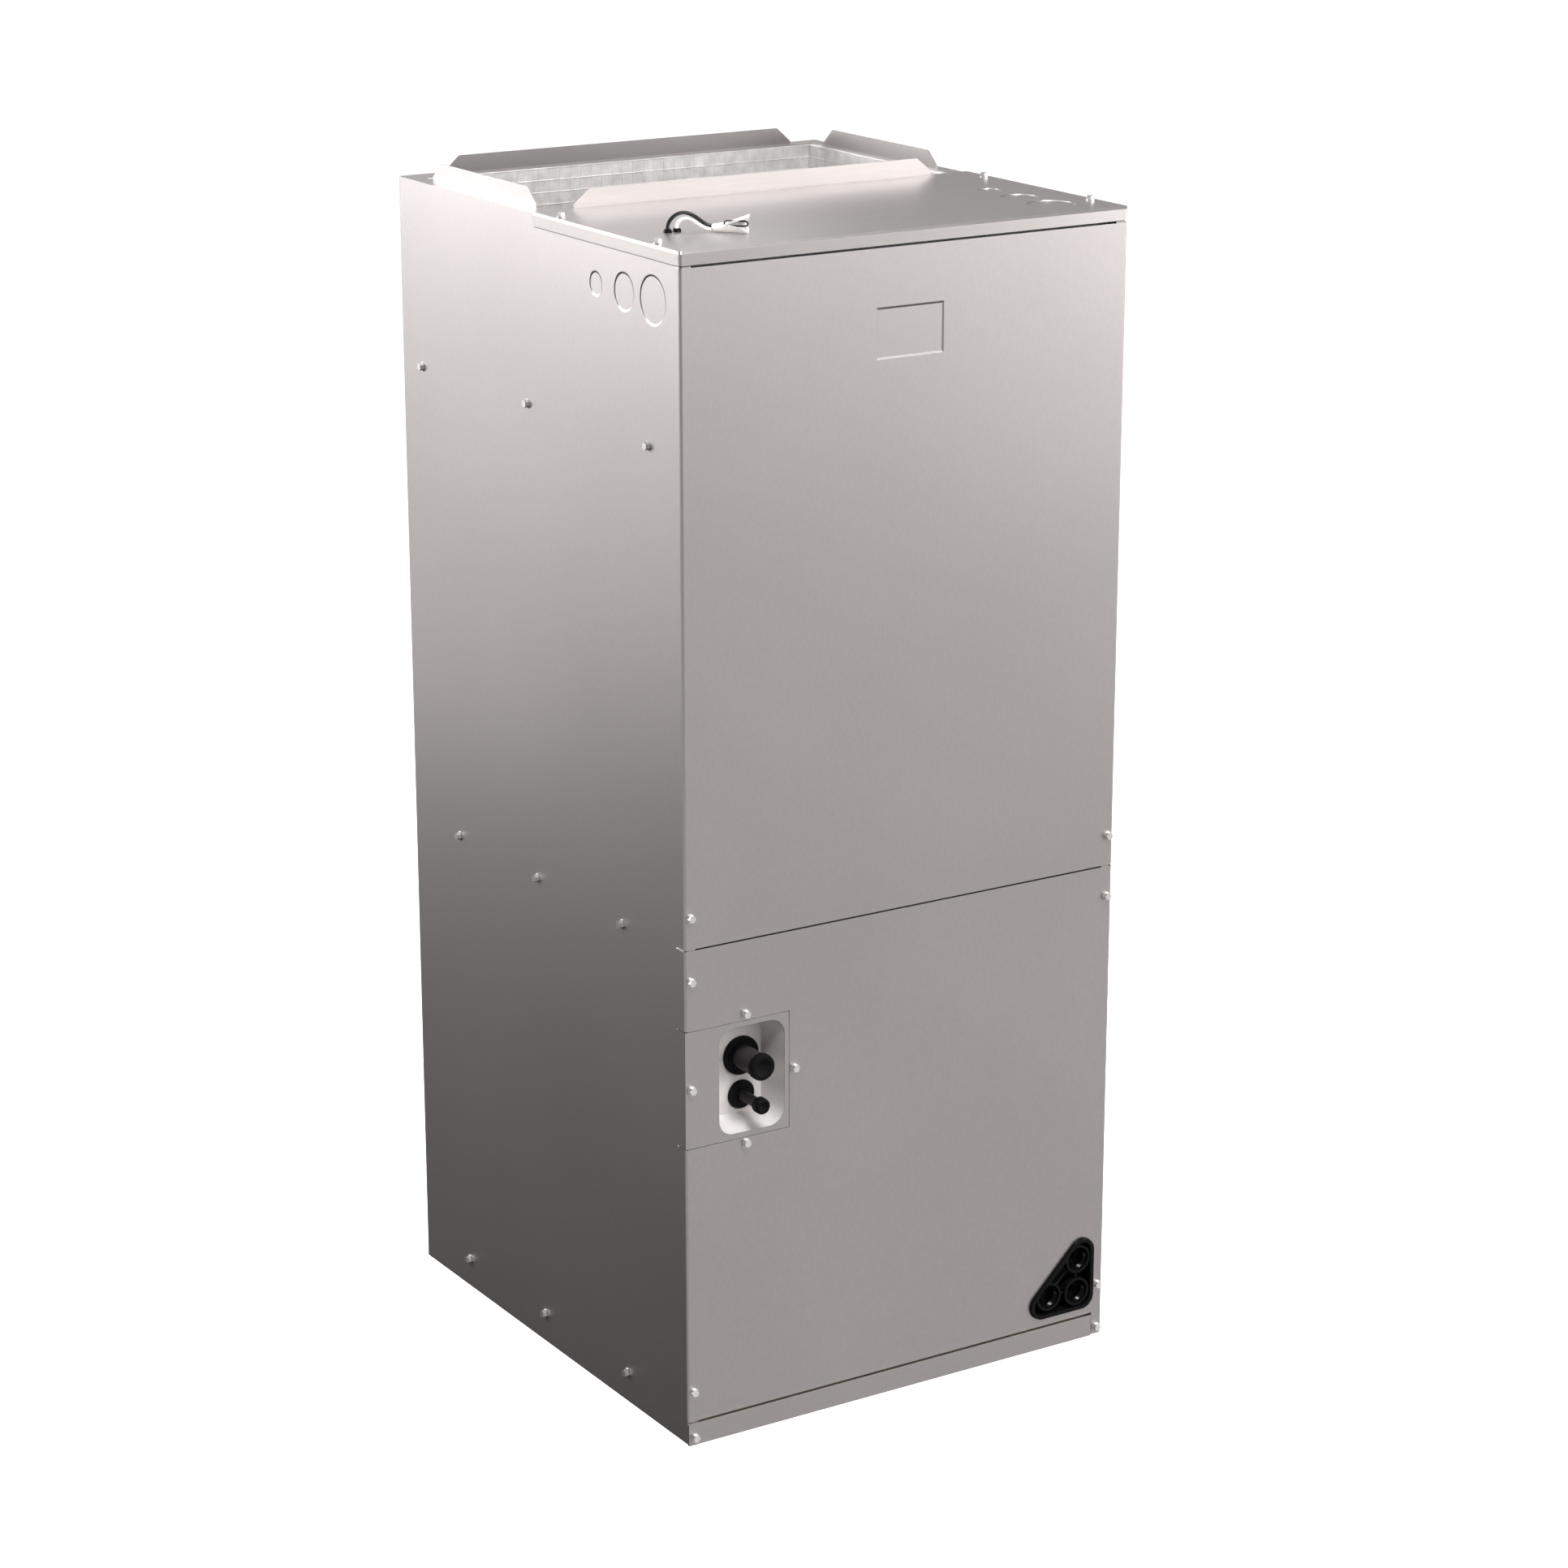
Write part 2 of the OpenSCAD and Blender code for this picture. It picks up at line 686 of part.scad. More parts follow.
module plenum_wall() {
    color("darkgray") difference() {
        union() {
            block([-wrap_in + sheet, plenum_y, deck_z + sheet], [wrap_in - sheet, plenum_y + sheet, wrap_top]);
            block([-wrap_in + sheet, plenum_y - 14, deck_z + sheet], [wrap_in - sheet, plenum_y + sheet,
                deck_z + 2 * sheet]);
            block([-duct_x + fit_gap, plenum_y - 14, wrap_top - sheet],
                [duct_x - fit_gap, plenum_y + sheet, wrap_top]);
        }
        block([-heater_w / 2, plenum_y - 1, heater_z], [heater_w / 2, plenum_y + 3, heater_z + heater_h]);
        both_sides() block([duct_x - fit_gap, plenum_y - 1, wrap_top - sheet - fit_gap],
            [wrap_in, plenum_y + 3, wrap_top + 1]);
    }
}

module heater_cover_plate() {
    lap = 11;
    bead = 14;
    color("silver") difference() {
        union() {
            block([-heater_w / 2 - lap, plenum_y - sheet, heater_z - lap],
                [heater_w / 2 + lap, plenum_y, heater_z + heater_h + lap]);
            block([-heater_w / 2 + bead, plenum_y - 3 - sheet, heater_z + bead],
                [heater_w / 2 - bead, plenum_y - sheet, heater_z + heater_h - bead]);
        }
        block([-heater_w / 2 + bead + sheet, plenum_y - 3, heater_z + bead + sheet],
            [heater_w / 2 - bead - sheet, plenum_y + 1, heater_z + heater_h - bead - sheet]);
    }
}

// Blower housing

function scroll_r(a) = scroll_r0 + (scroll_r1 - scroll_r0) * (a - cutoff_a) / (360 - cutoff_a);
function scroll_point(a, extra) = [wheel_y, wheel_z] + (scroll_r(a) + extra) * [cos(a), sin(a)];
function cutoff_corner(extra) = let (y = scroll_r0 * cos(cutoff_a) - extra)
    [wheel_y + y, wheel_z + sqrt(pow(scroll_r0 + extra, 2) - y * y)];
function scroll_line(extra, top) = concat(
    [[cutoff_corner(extra).x, top], cutoff_corner(extra)],
    [for (i = [1:scroll_steps]) scroll_point(cutoff_a + i * (360 - cutoff_a) / scroll_steps, extra)],
    [[wheel_y + scroll_r1 + extra, top]]);

module blower_side_right() {
    rim = 4;
    color("lightgray") difference() {
        union() {
            along_x(housing_x, housing_x + sheet) polygon(scroll_line(rim, deck_z));
            block([housing_x, outlet_y0, deck_z - sheet], [housing_x + 14, outlet_y1, deck_z]);
            translate([housing_x + sheet, wheel_y, wheel_z]) rotate([0, -90, 0]) rotate_extrude()
                difference() {
                    translate([inlet_r, 0]) square(inlet_curl);
                    translate([inlet_r + inlet_curl, inlet_curl]) circle(inlet_curl - sheet);
                    translate([inlet_r + sheet * 3, sheet]) square(inlet_curl);
                }
        }
        translate([housing_x - inlet_curl - 5, wheel_y, wheel_z]) rotate([0, 90, 0])
            cylinder(h = inlet_curl + 10, r = inlet_r);
    }
}

module blower_side_left() {
    mirror([1, 0, 0]) blower_side_right();
}

module blower_scroll() {
    inner = scroll_line(0, deck_z);
    outer = scroll_line(sheet, deck_z);
    n = len(outer);
    color("lightgray") {
        along_x(-housing_x, housing_x) polygon(concat(outer, [for (i = [n - 1:-1:0]) inner[i]]));
        block([-housing_x, outlet_y1 + sheet / 2, deck_z - sheet], [housing_x, outlet_y1 + 12, deck_z]);
    }
}

// Wheel, hub and shaft turn together

module wheel_axis(x) {
    translate([x, wheel_y, wheel_z]) rotate([0, 90, 0]) children();
}

module blade_2d() {
    blade_r = blade_l * 0.9;
    intersection() {
        difference() {
            circle(wheel_r - 1);
            circle(wheel_r - blade_l);
        }
        translate([wheel_r - blade_l * 0.55, blade_r]) difference() {
            circle(blade_r + 0.6);
            circle(blade_r - 0.6);
        }
        translate([0, -blade_l]) square([wheel_r, blade_l * 2]);
    }
}

module blower_wheel() {
    ring_w = 4;
    color("lightgray") {
        for (s = [0, 1]) mirror([s, 0, 0]) {
            wheel_axis(0.5) linear_extrude(wheel_w / 2 - ring_w - 0.5 + eps)
                for (i = [0:blades - 1]) rotate(360 * i / blades) blade_2d();
            wheel_axis(wheel_w / 2 - ring_w) difference() {
                cylinder(h = ring_w, r = wheel_r);
                translate([0, 0, -1]) cylinder(h = ring_w + 2, r = wheel_r - blade_l + 2);
            }
        }
        wheel_axis(-0.6) difference() {
            cylinder(h = 1.2, r = wheel_r);
            translate([0, 0, -1]) cylinder(h = 4, r = hub_r + shaft_gap);
        }
    }
}

hub_r = 16;
hub_l = 26;

module wheel_hub() {
    color("dimgray") wheel_axis(-hub_l / 2) difference() {
        union() {
            cylinder(h = hub_l, r = hub_r);
            translate([0, 0, hub_l / 2 + 0.6 + fit_gap]) cylinder(h = 3, r = hub_r + 12);
        }
        translate([0, 0, -1]) cylinder(h = hub_l + 2, r = shaft_r + shaft_gap);
    }
}

module motor_shaft() {
    color("gray") wheel_axis(-hub_l / 2 - 3) cylinder(h = hub_l / 2 + 3 + motor_x + motor_l - 12, r = shaft_r);
}

module motor_shell() {
    dome = 10;
    color("dimgray") difference() {
        wheel_axis(motor_x) rotate_extrude() polygon([
            [0, 0], [26, 0], [30, 4], [motor_d / 2 - 12, 5], [motor_d / 2, dome + 4],
            [motor_d / 2, motor_l - dome - 4], [motor_d / 2 - 12, motor_l - 5], [30, motor_l - 4],
            [26, motor_l], [0, motor_l]]);
        wheel_axis(motor_x - 1) cylinder(h = motor_l - 10 + 1, r = shaft_r + shaft_gap);
        for (i = [0:11]) wheel_axis(motor_x) rotate(i * 30)
            translate([motor_d / 2 - 22, -2, motor_l - 6]) cube([8, 4, 8]);
    }
}

module motor_mount() {
    band_w = 20;
    arm_w = 18;
    arm_t = 3;
    reach = scroll_r0 - 3;
    band_x = housing_x + sheet - 8;
    color("gray") {
        wheel_axis(band_x) difference() {
            cylinder(h = band_w, r = motor_d / 2 + 2);
            translate([0, 0, -1]) cylinder(h = band_w + 2, r = motor_d / 2 + shaft_gap);
        }
        for (a = [90, 210, 330]) wheel_axis(housing_x + sheet) rotate(a)
            translate([motor_d / 2 + 1, -arm_w / 2, 0]) cube([reach - motor_d / 2 - 1, arm_w, arm_t]);
    }
}

// Electrical pieces

// Run capacitor, an oval can with two tabs, standing on the blower's side
cap_half = 16;
cap_pitch = 9;
cap_h = 74;
cap_back = 50;
cap_drop = 26;
cap_tab = [4, 6, 9];
module capacitor() {
    x = -housing_x - sheet - cap_half;
    color("silver") translate([x, outlet_y0 + cap_back, deck_z - cap_drop]) rotate([-90, 0, 0]) {
        linear_extrude(cap_h) {
            for (s = [-1, 1]) translate([0, s * cap_pitch]) circle(cap_half);
            translate([-cap_half, -cap_pitch]) square([2 * cap_half, 2 * cap_pitch]);
        }
        for (s = [-1, 1]) translate([-cap_tab.x / 2, s * (cap_pitch - 1) - cap_tab.y / 2, cap_h]) cube(cap_tab);
    }
}

bracket_w = 112;
bracket_h = 160;
bracket_foot = 24;
bracket_arm_h = 60;
bracket_reach = 57;
bracket_x = -wrap_in + sheet + 1;
bracket_y = plenum_y - bracket_reach;
bracket_z = deck_z + sheet;

module control_bracket() {
    right = bracket_x + bracket_w;
    color("darkgray") {
        block([bracket_x, bracket_y, bracket_z], [right, bracket_y + sheet, bracket_z + bracket_h]);
        block([bracket_x, bracket_y - bracket_foot, bracket_z], [right, bracket_y + sheet, bracket_z + sheet]);
        block([right - sheet, bracket_y, bracket_z], [right, plenum_y - 15, bracket_z + bracket_arm_h]);
    }
}

board_t = 1.6;
board_w = 92;
board_h = 74;
board_stand = 6;
board_leg = 4;
board_x = bracket_x + 8;
board_y = bracket_y - board_stand;
board_z = bracket_z + 78;
plug_w = 8;
plug_h = 8;
plug_tall = 10;
plug_pitch = 11;
plug_z = board_z + 54;

// Board on four legs with a block of relays, a terminal strip and a row of plugs
module control_board() {
    relays = [[14, -16, 14], [38, eps, 34]];
    strip = [[46, -9, 12], [84, eps, 20]];
    face = board_y - board_t;
    color("seagreen") {
        block([board_x, face, board_z], [board_x + board_w, board_y, board_z + board_h]);
        for (dx = [6, board_w - 10]) for (dz = [6, board_h - 8])
            block([board_x + dx, board_y - eps, board_z + dz],
                [board_x + dx + board_leg, bracket_y, board_z + dz + board_leg]);
        translate([board_x, face, board_z]) for (b = [relays, strip]) block(b[0], b[1]);
        for (i = [0:5]) translate([board_x + 2 * plug_w + i * plug_pitch, face - plug_h, plug_z])
            cube([plug_w, plug_h + eps, plug_tall]);
    }
}

module transformer() {
    core = [60, 26, 48];
    winding = [40, 44, 36];
    plate = [68, 2, 56];
    color("dimgray") translate([bracket_x + 10, bracket_y, bracket_z + 8]) {
        translate([0, -34, 8]) cube(core);
        translate([10, -winding.y, 14]) cube(winding);
        translate([-4, -plate.y, 4]) cube(plate);
    }
}

relay_size = [26, 26, 36];
relay_blade = [4, 8, 1];
relay_x = bracket_x + 80;
relay_reach = relay_size.y + relay_blade.y - 1;

module blower_relay() {
    color("black") translate([relay_x, bracket_y, bracket_z + 16]) {
        translate([0, -relay_size.y, 0]) cube(relay_size);
        for (i = [0:2]) translate([3 + i * 8, -relay_reach, 12]) cube(relay_blade);
    }
}

// Motor lead from the motor's end, up through the deck and across to the relay
motor_lead_r = 4;
motor_lead_x = 190;
motor_lead_y = depth_y(150);

module motor_lead() {
    y = wheel_y - 30;
    z = bracket_z + 34;
    x = relay_x + relay_size.x / 2;
    color("black") pipe([
        [motor_x + motor_l, y, wheel_z], [motor_lead_x, y, wheel_z], [motor_lead_x, motor_lead_y, wheel_z],
        [motor_lead_x, motor_lead_y, z], [x, motor_lead_y, z],
        [x, bracket_y - relay_reach - fit_gap, z]], motor_lead_r, 16);
}

// Coil

module slab_frame() {
    translate([-coil_foot_x, 0, coil_z]) rotate([0, coil_lean, 0]) children();
}

module fin_pack() {
    tooth = 8;
    n = floor((coil_d - 2 * tooth) / tooth);
    edge = coil_t / 2;
    groove = 1.6;
    slab_frame() linear_extrude(coil_l) difference() {
        translate([-edge, coil_y0]) square([coil_t, coil_d]);
        for (i = [1:n]) for (s = [-1, 1])
            translate([s * edge - groove, coil_y0 + i * tooth]) square([2 * groove, tooth / 2]);
    }
}

module coil_fins_left() {
    color("lightsteelblue") fin_pack();
}

module coil_fins_right() {
    color("lightsteelblue") mirror([1, 0, 0]) fin_pack();
}

// End plate of a slab with its long edges folded outwards, out is the sign of the fold
module end_plate(y, out) {
    lip = 8;
    slab_frame() {
        translate([-coil_t / 2, y, 0]) cube([coil_t, sheet, coil_l]);
        for (x = [-coil_t / 2, coil_t / 2 - sheet])
            translate([x, min(y, y + out * lip), 0]) cube([sheet, lip + sheet, coil_l]);
    }
}

module coil_end_plates() {
    color("silver") both_sides() {
        end_plate(coil_y0 - sheet, -1);
        end_plate(coil_y1, 1);
    }
}

// Tubes of a row are joined in two circuits of eight
bend_stub = 4;
circuit = 8;
circuits = floor(tubes / circuit);

// Half ring of tube on an end plate, from one tube to another, both given as [x, z] in the slab
module return_bend(from, to, y, out) {
    gap = norm(to - from);
    mid = (from + to) / 2;
    lean = atan2(to.x - from.x, to.y - from.y);
    translate([mid.x, y, mid.y]) rotate([0, lean, 0]) {
        for (s = [-1, 1]) translate([0, 0, s * gap / 2]) rotate([-out * 90, 0, 0])
            cylinder(h = bend_stub + eps, r = tube_r);
        translate([0, out * bend_stub, 0]) rotate([0, 90, 0]) rotate(out > 0 ? 0 : 180)
            rotate_extrude(angle = 180) translate([gap / 2, 0]) circle(tube_r);
    }
}

module coil_bends() {
    last = circuits * circuit - 1;
    slab_frame() {
        for (x = tube_rows) {
            for (i = [0:2:last]) return_bend([x, tube_at(i)], [x, tube_at(i + 1)], coil_y1 + sheet, 1);
            for (i = [1:2:last - 1]) if (i % circuit < circuit - 1)
                return_bend([x, tube_at(i)], [x, tube_at(i + 1)], coil_y0 - sheet, -1);
        }
        for (i = [circuit - 1:circuit:last])
            return_bend([tube_rows[0], tube_at(i)], [tube_rows[1], tube_at(i)], coil_y0 - sheet, -1);
    }
}

module coil_bends_left() {
    color("peru") coil_bends();
}

module coil_bends_right() {
    color("peru") mirror([1, 0, 0]) coil_bends();
}

apex = [-coil_foot_x, coil_z] + coil_l * [sin(coil_lean), cos(coil_lean)];
apex_half = coil_t * cos(coil_lean) + 4;
apex_z = apex.y + coil_t / 2 * sin(coil_lean) + fit_gap;

module coil_apex_cap() {
    skirt = 26;
    drop = skirt * [tan(coil_lean), 1];
    color("silver") along_y(coil_y0 - sheet, coil_y1 + sheet) polygon([
        [-apex_half, apex_z + sheet], [-apex_half - drop.x - 2, apex_z - drop.y],
        [-apex_half - drop.x - 2 + sheet, apex_z - drop.y], [-apex_half + sheet, apex_z],
        [apex_half - sheet, apex_z], [apex_half + drop.x + 2 - sheet, apex_z - drop.y],
        [apex_half + drop.x + 2, apex_z - drop.y], [apex_half, apex_z + sheet]]);
}

// Triangular plates that close the front and the back of the coil, standing on the pan's inner wall
baffle_z = 30.4;
module coil_baffles() {
    face = coil_foot_x - coil_t / 2 / cos(coil_lean) + coil_z * tan(coil_lean) - 0.5;
    z0 = pan_seat_z + baffle_z;
    z1 = apex_z - 22;
    color("silver") for (y = [coil_y0 + 1, coil_y1 - 1 - sheet]) along_y(y, y + sheet) polygon([
        [z0 * tan(coil_lean) - face, z0], [face - z0 * tan(coil_lean), z0],
        [face - z1 * tan(coil_lean), z1], [z1 * tan(coil_lean) - face, z1]]);
}

// Drain pan with its triangular connection

module drain_outline(inset) {
    round_outline(drain_centres, drain_corner - inset);
}

module drain_pan() {
    z0 = pan_seat_z;
    rim = 4;
    inner_x = tray_x - trough_w;
    inner_y0 = tray_y0 + end_trough_w;
    inner_y1 = tray_y1 - end_trough_w;
    pocket = port_depth;
    color("#202022") difference() {
        union() {
            difference() {
                block([-tray_x, tray_y0, z0], [tray_x, tray_y1, z0 + pan_h]);
                difference() {
                    block([pan_wall - tray_x, tray_y0 + pan_wall, z0 + pan_wall],
                        [tray_x - pan_wall, tray_y1 - pan_wall, z0 + pan_h + 1]);
                    block([-inner_x - pan_wall, inner_y0 - pan_wall, z0],
                        [inner_x + pan_wall, inner_y1 + pan_wall, z0 + 30]);
                }
                block([-inner_x, inner_y0, z0 - 1], [inner_x, inner_y1, z0 + pan_h + 2]);
            }
            along_y(drain_y, rail_front - fit_gap) drain_outline(0);
            along_y(rail_front - fit_gap - eps, tray_y0 + eps) intersection() {
                drain_outline(0);
                translate([drain_x0, z0]) square([drain_w, drain_w]);
            }
        }
        difference() {
            along_y(drain_y - 1, drain_y + pocket) drain_outline(rim);
            for (p = ports) translate([p.x, drain_y + 1, p.y]) rotate([-90, 0, 0])
                cylinder(h = pocket, r = port_r + 2.4);
            for (i = [0:2]) rod([ports[i].x, drain_y + 5, ports[i].y],
                [ports[(i + 1) % 3].x, drain_y + 5, ports[(i + 1) % 3].y], 1.5);
        }
        for (p = ports) translate([p.x, drain_y - 1, p.y]) rotate([-90, 0, 0])
            cylinder(h = port_depth + 1, r = port_r);
        for (i = [0, 2]) translate([ports[i].x, drain_y, max(ports[i].y, pan_floor + 4)]) rotate([-90, 0, 0])
            cylinder(h = 30, r = 4);
    }
}

// Refrigerant pipework

// Point of the left slab, from its own x and z and the cabinet's y
function slab_point(x, y, z) = [
    z * sin(coil_lean) + x * cos(coil_lean) - coil_foot_x, y, coil_z + z * cos(coil_lean) - x * sin(coil_lean)];
function mirrored(p) = [-p.x, p.y, p.z];

header_r = 12.7;
header_x = -coil_t / 2 - header_r - 3;
header_y = coil_y0 - sheet - header_r - 3.5;
header_top = apex_z + sheet + header_r + 4;
header_foot = slab_point(header_x, header_y, tube_at(0) - 8);
function header_at(z) = slab_point(header_x, header_y, (z - coil_z + header_x * sin(coil_lean)) / cos(coil_lean));
header_bend = header_at(header_top);
header_joint = header_at(suction_z);

// Copper suction header over both slabs with its branches and the line out to the front
module suction_manifold() {
    color("peru") difference() {
        union() {
            pipe([header_foot, header_bend, mirrored(header_bend), mirrored(header_foot)], header_r, 26);
            both_sides() for (k = [0:circuits - 1]) pipe([
                slab_point(tube_rows[0], coil_y0 - sheet, tube_at(k * circuit)),
                slab_point(tube_rows[0], header_y, tube_at(k * circuit)),
                slab_point(header_x, header_y, tube_at(k * circuit))], tube_r, 8);
            pipe([[stub_x, stub_end + cap_wall + fit_gap, suction_z], [stub_x, header_y + 22, suction_z],
                header_joint], suction_r, 16);
        }
        rod([stub_x, stub_end, suction_z], [stub_x, dish_back - 4, suction_z], suction_r - stub_wall);
    }
}

// Liquid line, its stub and the turn down to the distributor
distributor_x = stub_x - 27.5;
distributor_y = dish_back + 30;
distributor_top = liquid_z - 34;
module liquid_line() {
    color("dimgray") difference() {
        pipe([[stub_x, stub_end + liquid_cap_wall + fit_gap, liquid_z], [stub_x, distributor_y, liquid_z],
            [distributor_x, distributor_y, liquid_z],
            [distributor_x, distributor_y, distributor_top]], liquid_r, 12);
        rod([stub_x, stub_end, liquid_z], [stub_x, dish_back - 4, liquid_z], liquid_r - stub_wall);
    }
}

// Brass distributor with a thin feeder tube to each circuit
feeder_r = 2.4;
feeder_y = coil_y0 - 33.5;
feeder_step = 9;
distributor_l = 36;
module distributor() {
    low = distributor_top - distributor_l;
    inlets = [for (k = [0:circuits - 1]) slab_point(tube_rows[1], coil_y0 - sheet, tube_at(k * circuit))];
    color("goldenrod") {
        translate([distributor_x, distributor_y, low]) {
            translate([0, 0, 14]) cylinder(h = distributor_l - 14, r = 8);
            cylinder(h = 14, r = 10);
            translate([0, 0, 20]) cylinder(h = 8, r = 10.5, $fn = 6);
        }
    }
    color("peru") for (k = [0:circuits - 1]) for (s = [0, 1]) {
        to = s == 0 ? inlets[k] : mirrored(inlets[k]);
        x = distributor_x + (s == k ? 5 : -5);
        y = distributor_y + (k == 0 ? 5 : -5);
        drop = low - 20 - feeder_step * (k == 0 ? 3 - s : s);
        pipe([[x, y, low + 1], [x, y, drop], [x, feeder_y, drop], [to.x, feeder_y, drop],
            [to.x, feeder_y, to.z], to], feeder_r, 4.4);
    }
}

module dish_outline(inset) {
    r = 16 - inset / 2;
    w = dish_w / 2 - inset;
    h = dish_h / 2 - inset;
    translate([dish_x, tubing_z]) rounded_rect([-w, -h], [w, h], r, $fn = 32);
}

module dish_form(grow) {
    hull() {
        along_y(front_y, front_y + 0.2) dish_outline(-grow);
        along_y(dish_back + grow - 0.2, dish_back + grow) dish_outline(dish_draft - grow);
    }
}

neck_gap = 0.4;
joggle = 1.3;
module tubing_panel() {
    z0 = tubing_z - tubing_h / 2;
    z1 = tubing_z + tubing_h / 2;
    flange_x0 = -return_x + fit_gap;
    flange_x1 = tubing_right + tubing_flange_w;
    color("silver") difference() {
        union() {
            block([tubing_left, front_y, z0], [tubing_right, front_y + sheet, z1]);
            block([tubing_left, front_y, z0], [tubing_left + sheet, front_y + side_return_w, z1]);
            difference() {
                union() {
                    block([flange_x0, wrap_front, z0 - tubing_flange_w],
                        [flange_x1, wrap_front + sheet, z1 + tubing_flange_w]);
                    block([flange_x0, front_y, z0], [tubing_right, wrap_front + sheet, z1]);
                }
                block([flange_x0 - 1, front_y + sheet, z0 + joggle],
                    [tubing_right - joggle, wrap_front + 2, z1 - joggle]);
            }
            dish_form(sheet);
        }
        dish_form(0);
        along_y(front_y - 1, front_y + 0.3) dish_outline(0);
        translate([stub_x, dish_back - 5, suction_z]) rotate([-90, 0, 0])
            cylinder(h = 20, r = suction_r + 3 + neck_gap);
        translate([stub_x, dish_back - 5, liquid_z]) rotate([-90, 0, 0])
            cylinder(h = 20, r = liquid_r + 3 + neck_gap);
        front_holes(concat(tubing_flange_screws, [tubing_corner_screw]));
    }
}

// Grommet seated in the dish's back wall, its outer flange with a raised ring
module grommet(z, r, flange_r) {
    lip = 2.5;
    neck = r + 3;
    color("#1a1a1c") translate([stub_x, dish_back, z]) rotate([-90, 0, 0]) rotate_extrude() polygon([
        [r + 0.15, -5], [r + 2.5, -5], [r + 3.2, -3.4], [flange_r - 2, -3.4], [flange_r, -1.6],
        [flange_r, -fit_gap], [neck, -fit_gap], [neck, sheet + fit_gap], [neck + lip, sheet + fit_gap], [neck + 1, sheet + 3],
        [r + 0.15, sheet + 3]]);
}

module suction_grommet() {
    grommet(suction_z, suction_r, suction_grommet_r);
}

module liquid_grommet() {
    grommet(liquid_z, liquid_r, liquid_grommet_r);
}

module stub_cap(z, r, l, wall) {
    outer = r + wall;
    color("#1a1a1c") translate([stub_x, stub_end, z]) rotate([-90, 0, 0]) rotate_extrude() polygon([
        [0, 0], [outer - 1.5, 0], [outer, 1.5], [outer, l], [r + 0.1, l], [r + 0.1, wall], [0, wall]]);
}

module stub_caps() {
    stub_cap(suction_z, suction_r, suction_cap_l, cap_wall);
    stub_cap(liquid_z, liquid_r, liquid_cap_l, liquid_cap_wall);
}

// Fasteners on the cabinet

module cabinet_screws() {
    color("white") {
        for (p = side_screw_points) for (s = [-1, 1])
            translate([s * wrap_x, p.x, p.y]) rotate([0, s * 90, 0]) hex_screw();
        for (d = cover_screw_d) for (s = [-1, 1])
            translate([s * cover_screw_x, depth_y(d), cabinet_h]) hex_screw();
        front_screws([tubing_corner_screw], front_y);
    }
}

// Low voltage leads

module lead_bushings() {
    color("#1a1a1c") for (i = [0, 1]) translate([lead_x + i * lead_pitch, lead_y, cabinet_h]) {
        cylinder(h = bushing_h, r1 = bushing_r, r2 = bushing_r - 1);
        translate([0, 0, -sheet - 3]) cylinder(h = sheet + 3 + eps, r = lead_d / 2 + 1);
    }
}

module inner_leads() {
    color("white") for (i = [0, 1]) pipe([
        [lead_x + i * lead_pitch, lead_y, wrap_top - 3],
        [lead_x + i * lead_pitch, lead_y, plug_z + 5],
        [lead_x + i * lead_pitch, board_y - board_t - plug_h - fit_gap, plug_z + 5]], lead_d / 2, 10);
}

module lead_black() {
    color("black") soft_tube(black_route, lead_d, [lead_x, lead_y, lead_z]);
}

module lead_white() {
    color("white") soft_tube(white_route, lead_d, [lead_x + lead_pitch, lead_y, lead_z]);
}

module sleeve_end(x, size, inset) {
    block([x, inset - size.x / 2, inset], [x + 0.1, size.x / 2 - inset, size.y - inset]);
}

module sleeve_form(x0, x1, inset) {
    hull() {
        sleeve_end(x0, sleeve_neck, inset);
        sleeve_end(x1 - 0.1, sleeve_mouth, inset);
    }
}

module lead_sleeve() {
    closed = 6;
    color("whitesmoke") translate([sleeve_at.x, sleeve_at.y, cabinet_h + fit_gap]) rotate(-sleeve_turn)
        difference() {
            sleeve_form(0, sleeve_l, 0);
            sleeve_form(closed, sleeve_l + 1, sleeve_wall);
        }
}

// Panels

module panel_shell(z0, z1) {
    translate([0, 0, z0]) linear_extrude(z1 - z0) difference() {
        rounded_rect([-half_w, front_y], [half_w, front_y + 60], fold_r);
        rounded_rect([sheet - half_w, front_y + sheet], [half_w - sheet, front_y + 90], fold_r - sheet);
        translate([-half_w - 1, front_y + side_return_w]) square([cabinet_w + 2, 80]);
    }
    for (z = [z0, z1 - sheet])
        block([fit_gap - return_x, front_y, z], [return_x - fit_gap, front_y + edge_return_w, z + sheet]);
}

upper_z0 = split_z + seam / 2;
upper_z1 = cabinet_h - cover_skirt - cover_gap;
lower_z1 = split_z - seam / 2;

module upper_panel() {
    z = cabinet_h - breaker_drop;
    color("silver") difference() {
        union() {
            panel_shell(upper_z0, upper_z1);
            block([-breaker_w / 2, front_y + knockout_step, z - breaker_h / 2],
                [breaker_w / 2, front_y + sheet + knockout_step, z + breaker_h / 2]);
        }
        block([-breaker_w / 2, front_y - 1, z - breaker_h / 2],
            [breaker_w / 2, front_y + knockout_step, z + breaker_h / 2]);
        front_holes(upper_screws);
    }
}

module lower_panel() {
    z0 = tubing_z - tubing_h / 2 - seam / 2;
    z1 = tubing_z + tubing_h / 2 + seam / 2;
    color("silver") difference() {
        union() {
            panel_shell(strip_z0, lower_z1);
            block([fit_gap - return_x, front_y, lower_panel_z],
                [return_x - fit_gap, front_y + edge_return_w, lower_panel_z + sheet]);
        }
        block([-half_w - 1, front_y - 1, 0], [return_x - fit_gap, front_y + 40, lower_panel_z]);
        block([-half_w - 1, front_y - 1, z0], [tubing_right + 1, front_y + 40, z1]);
        along_y(front_y - 1, front_y + 5) drain_outline(-0.5);
        front_holes(lower_screws);
    }
}

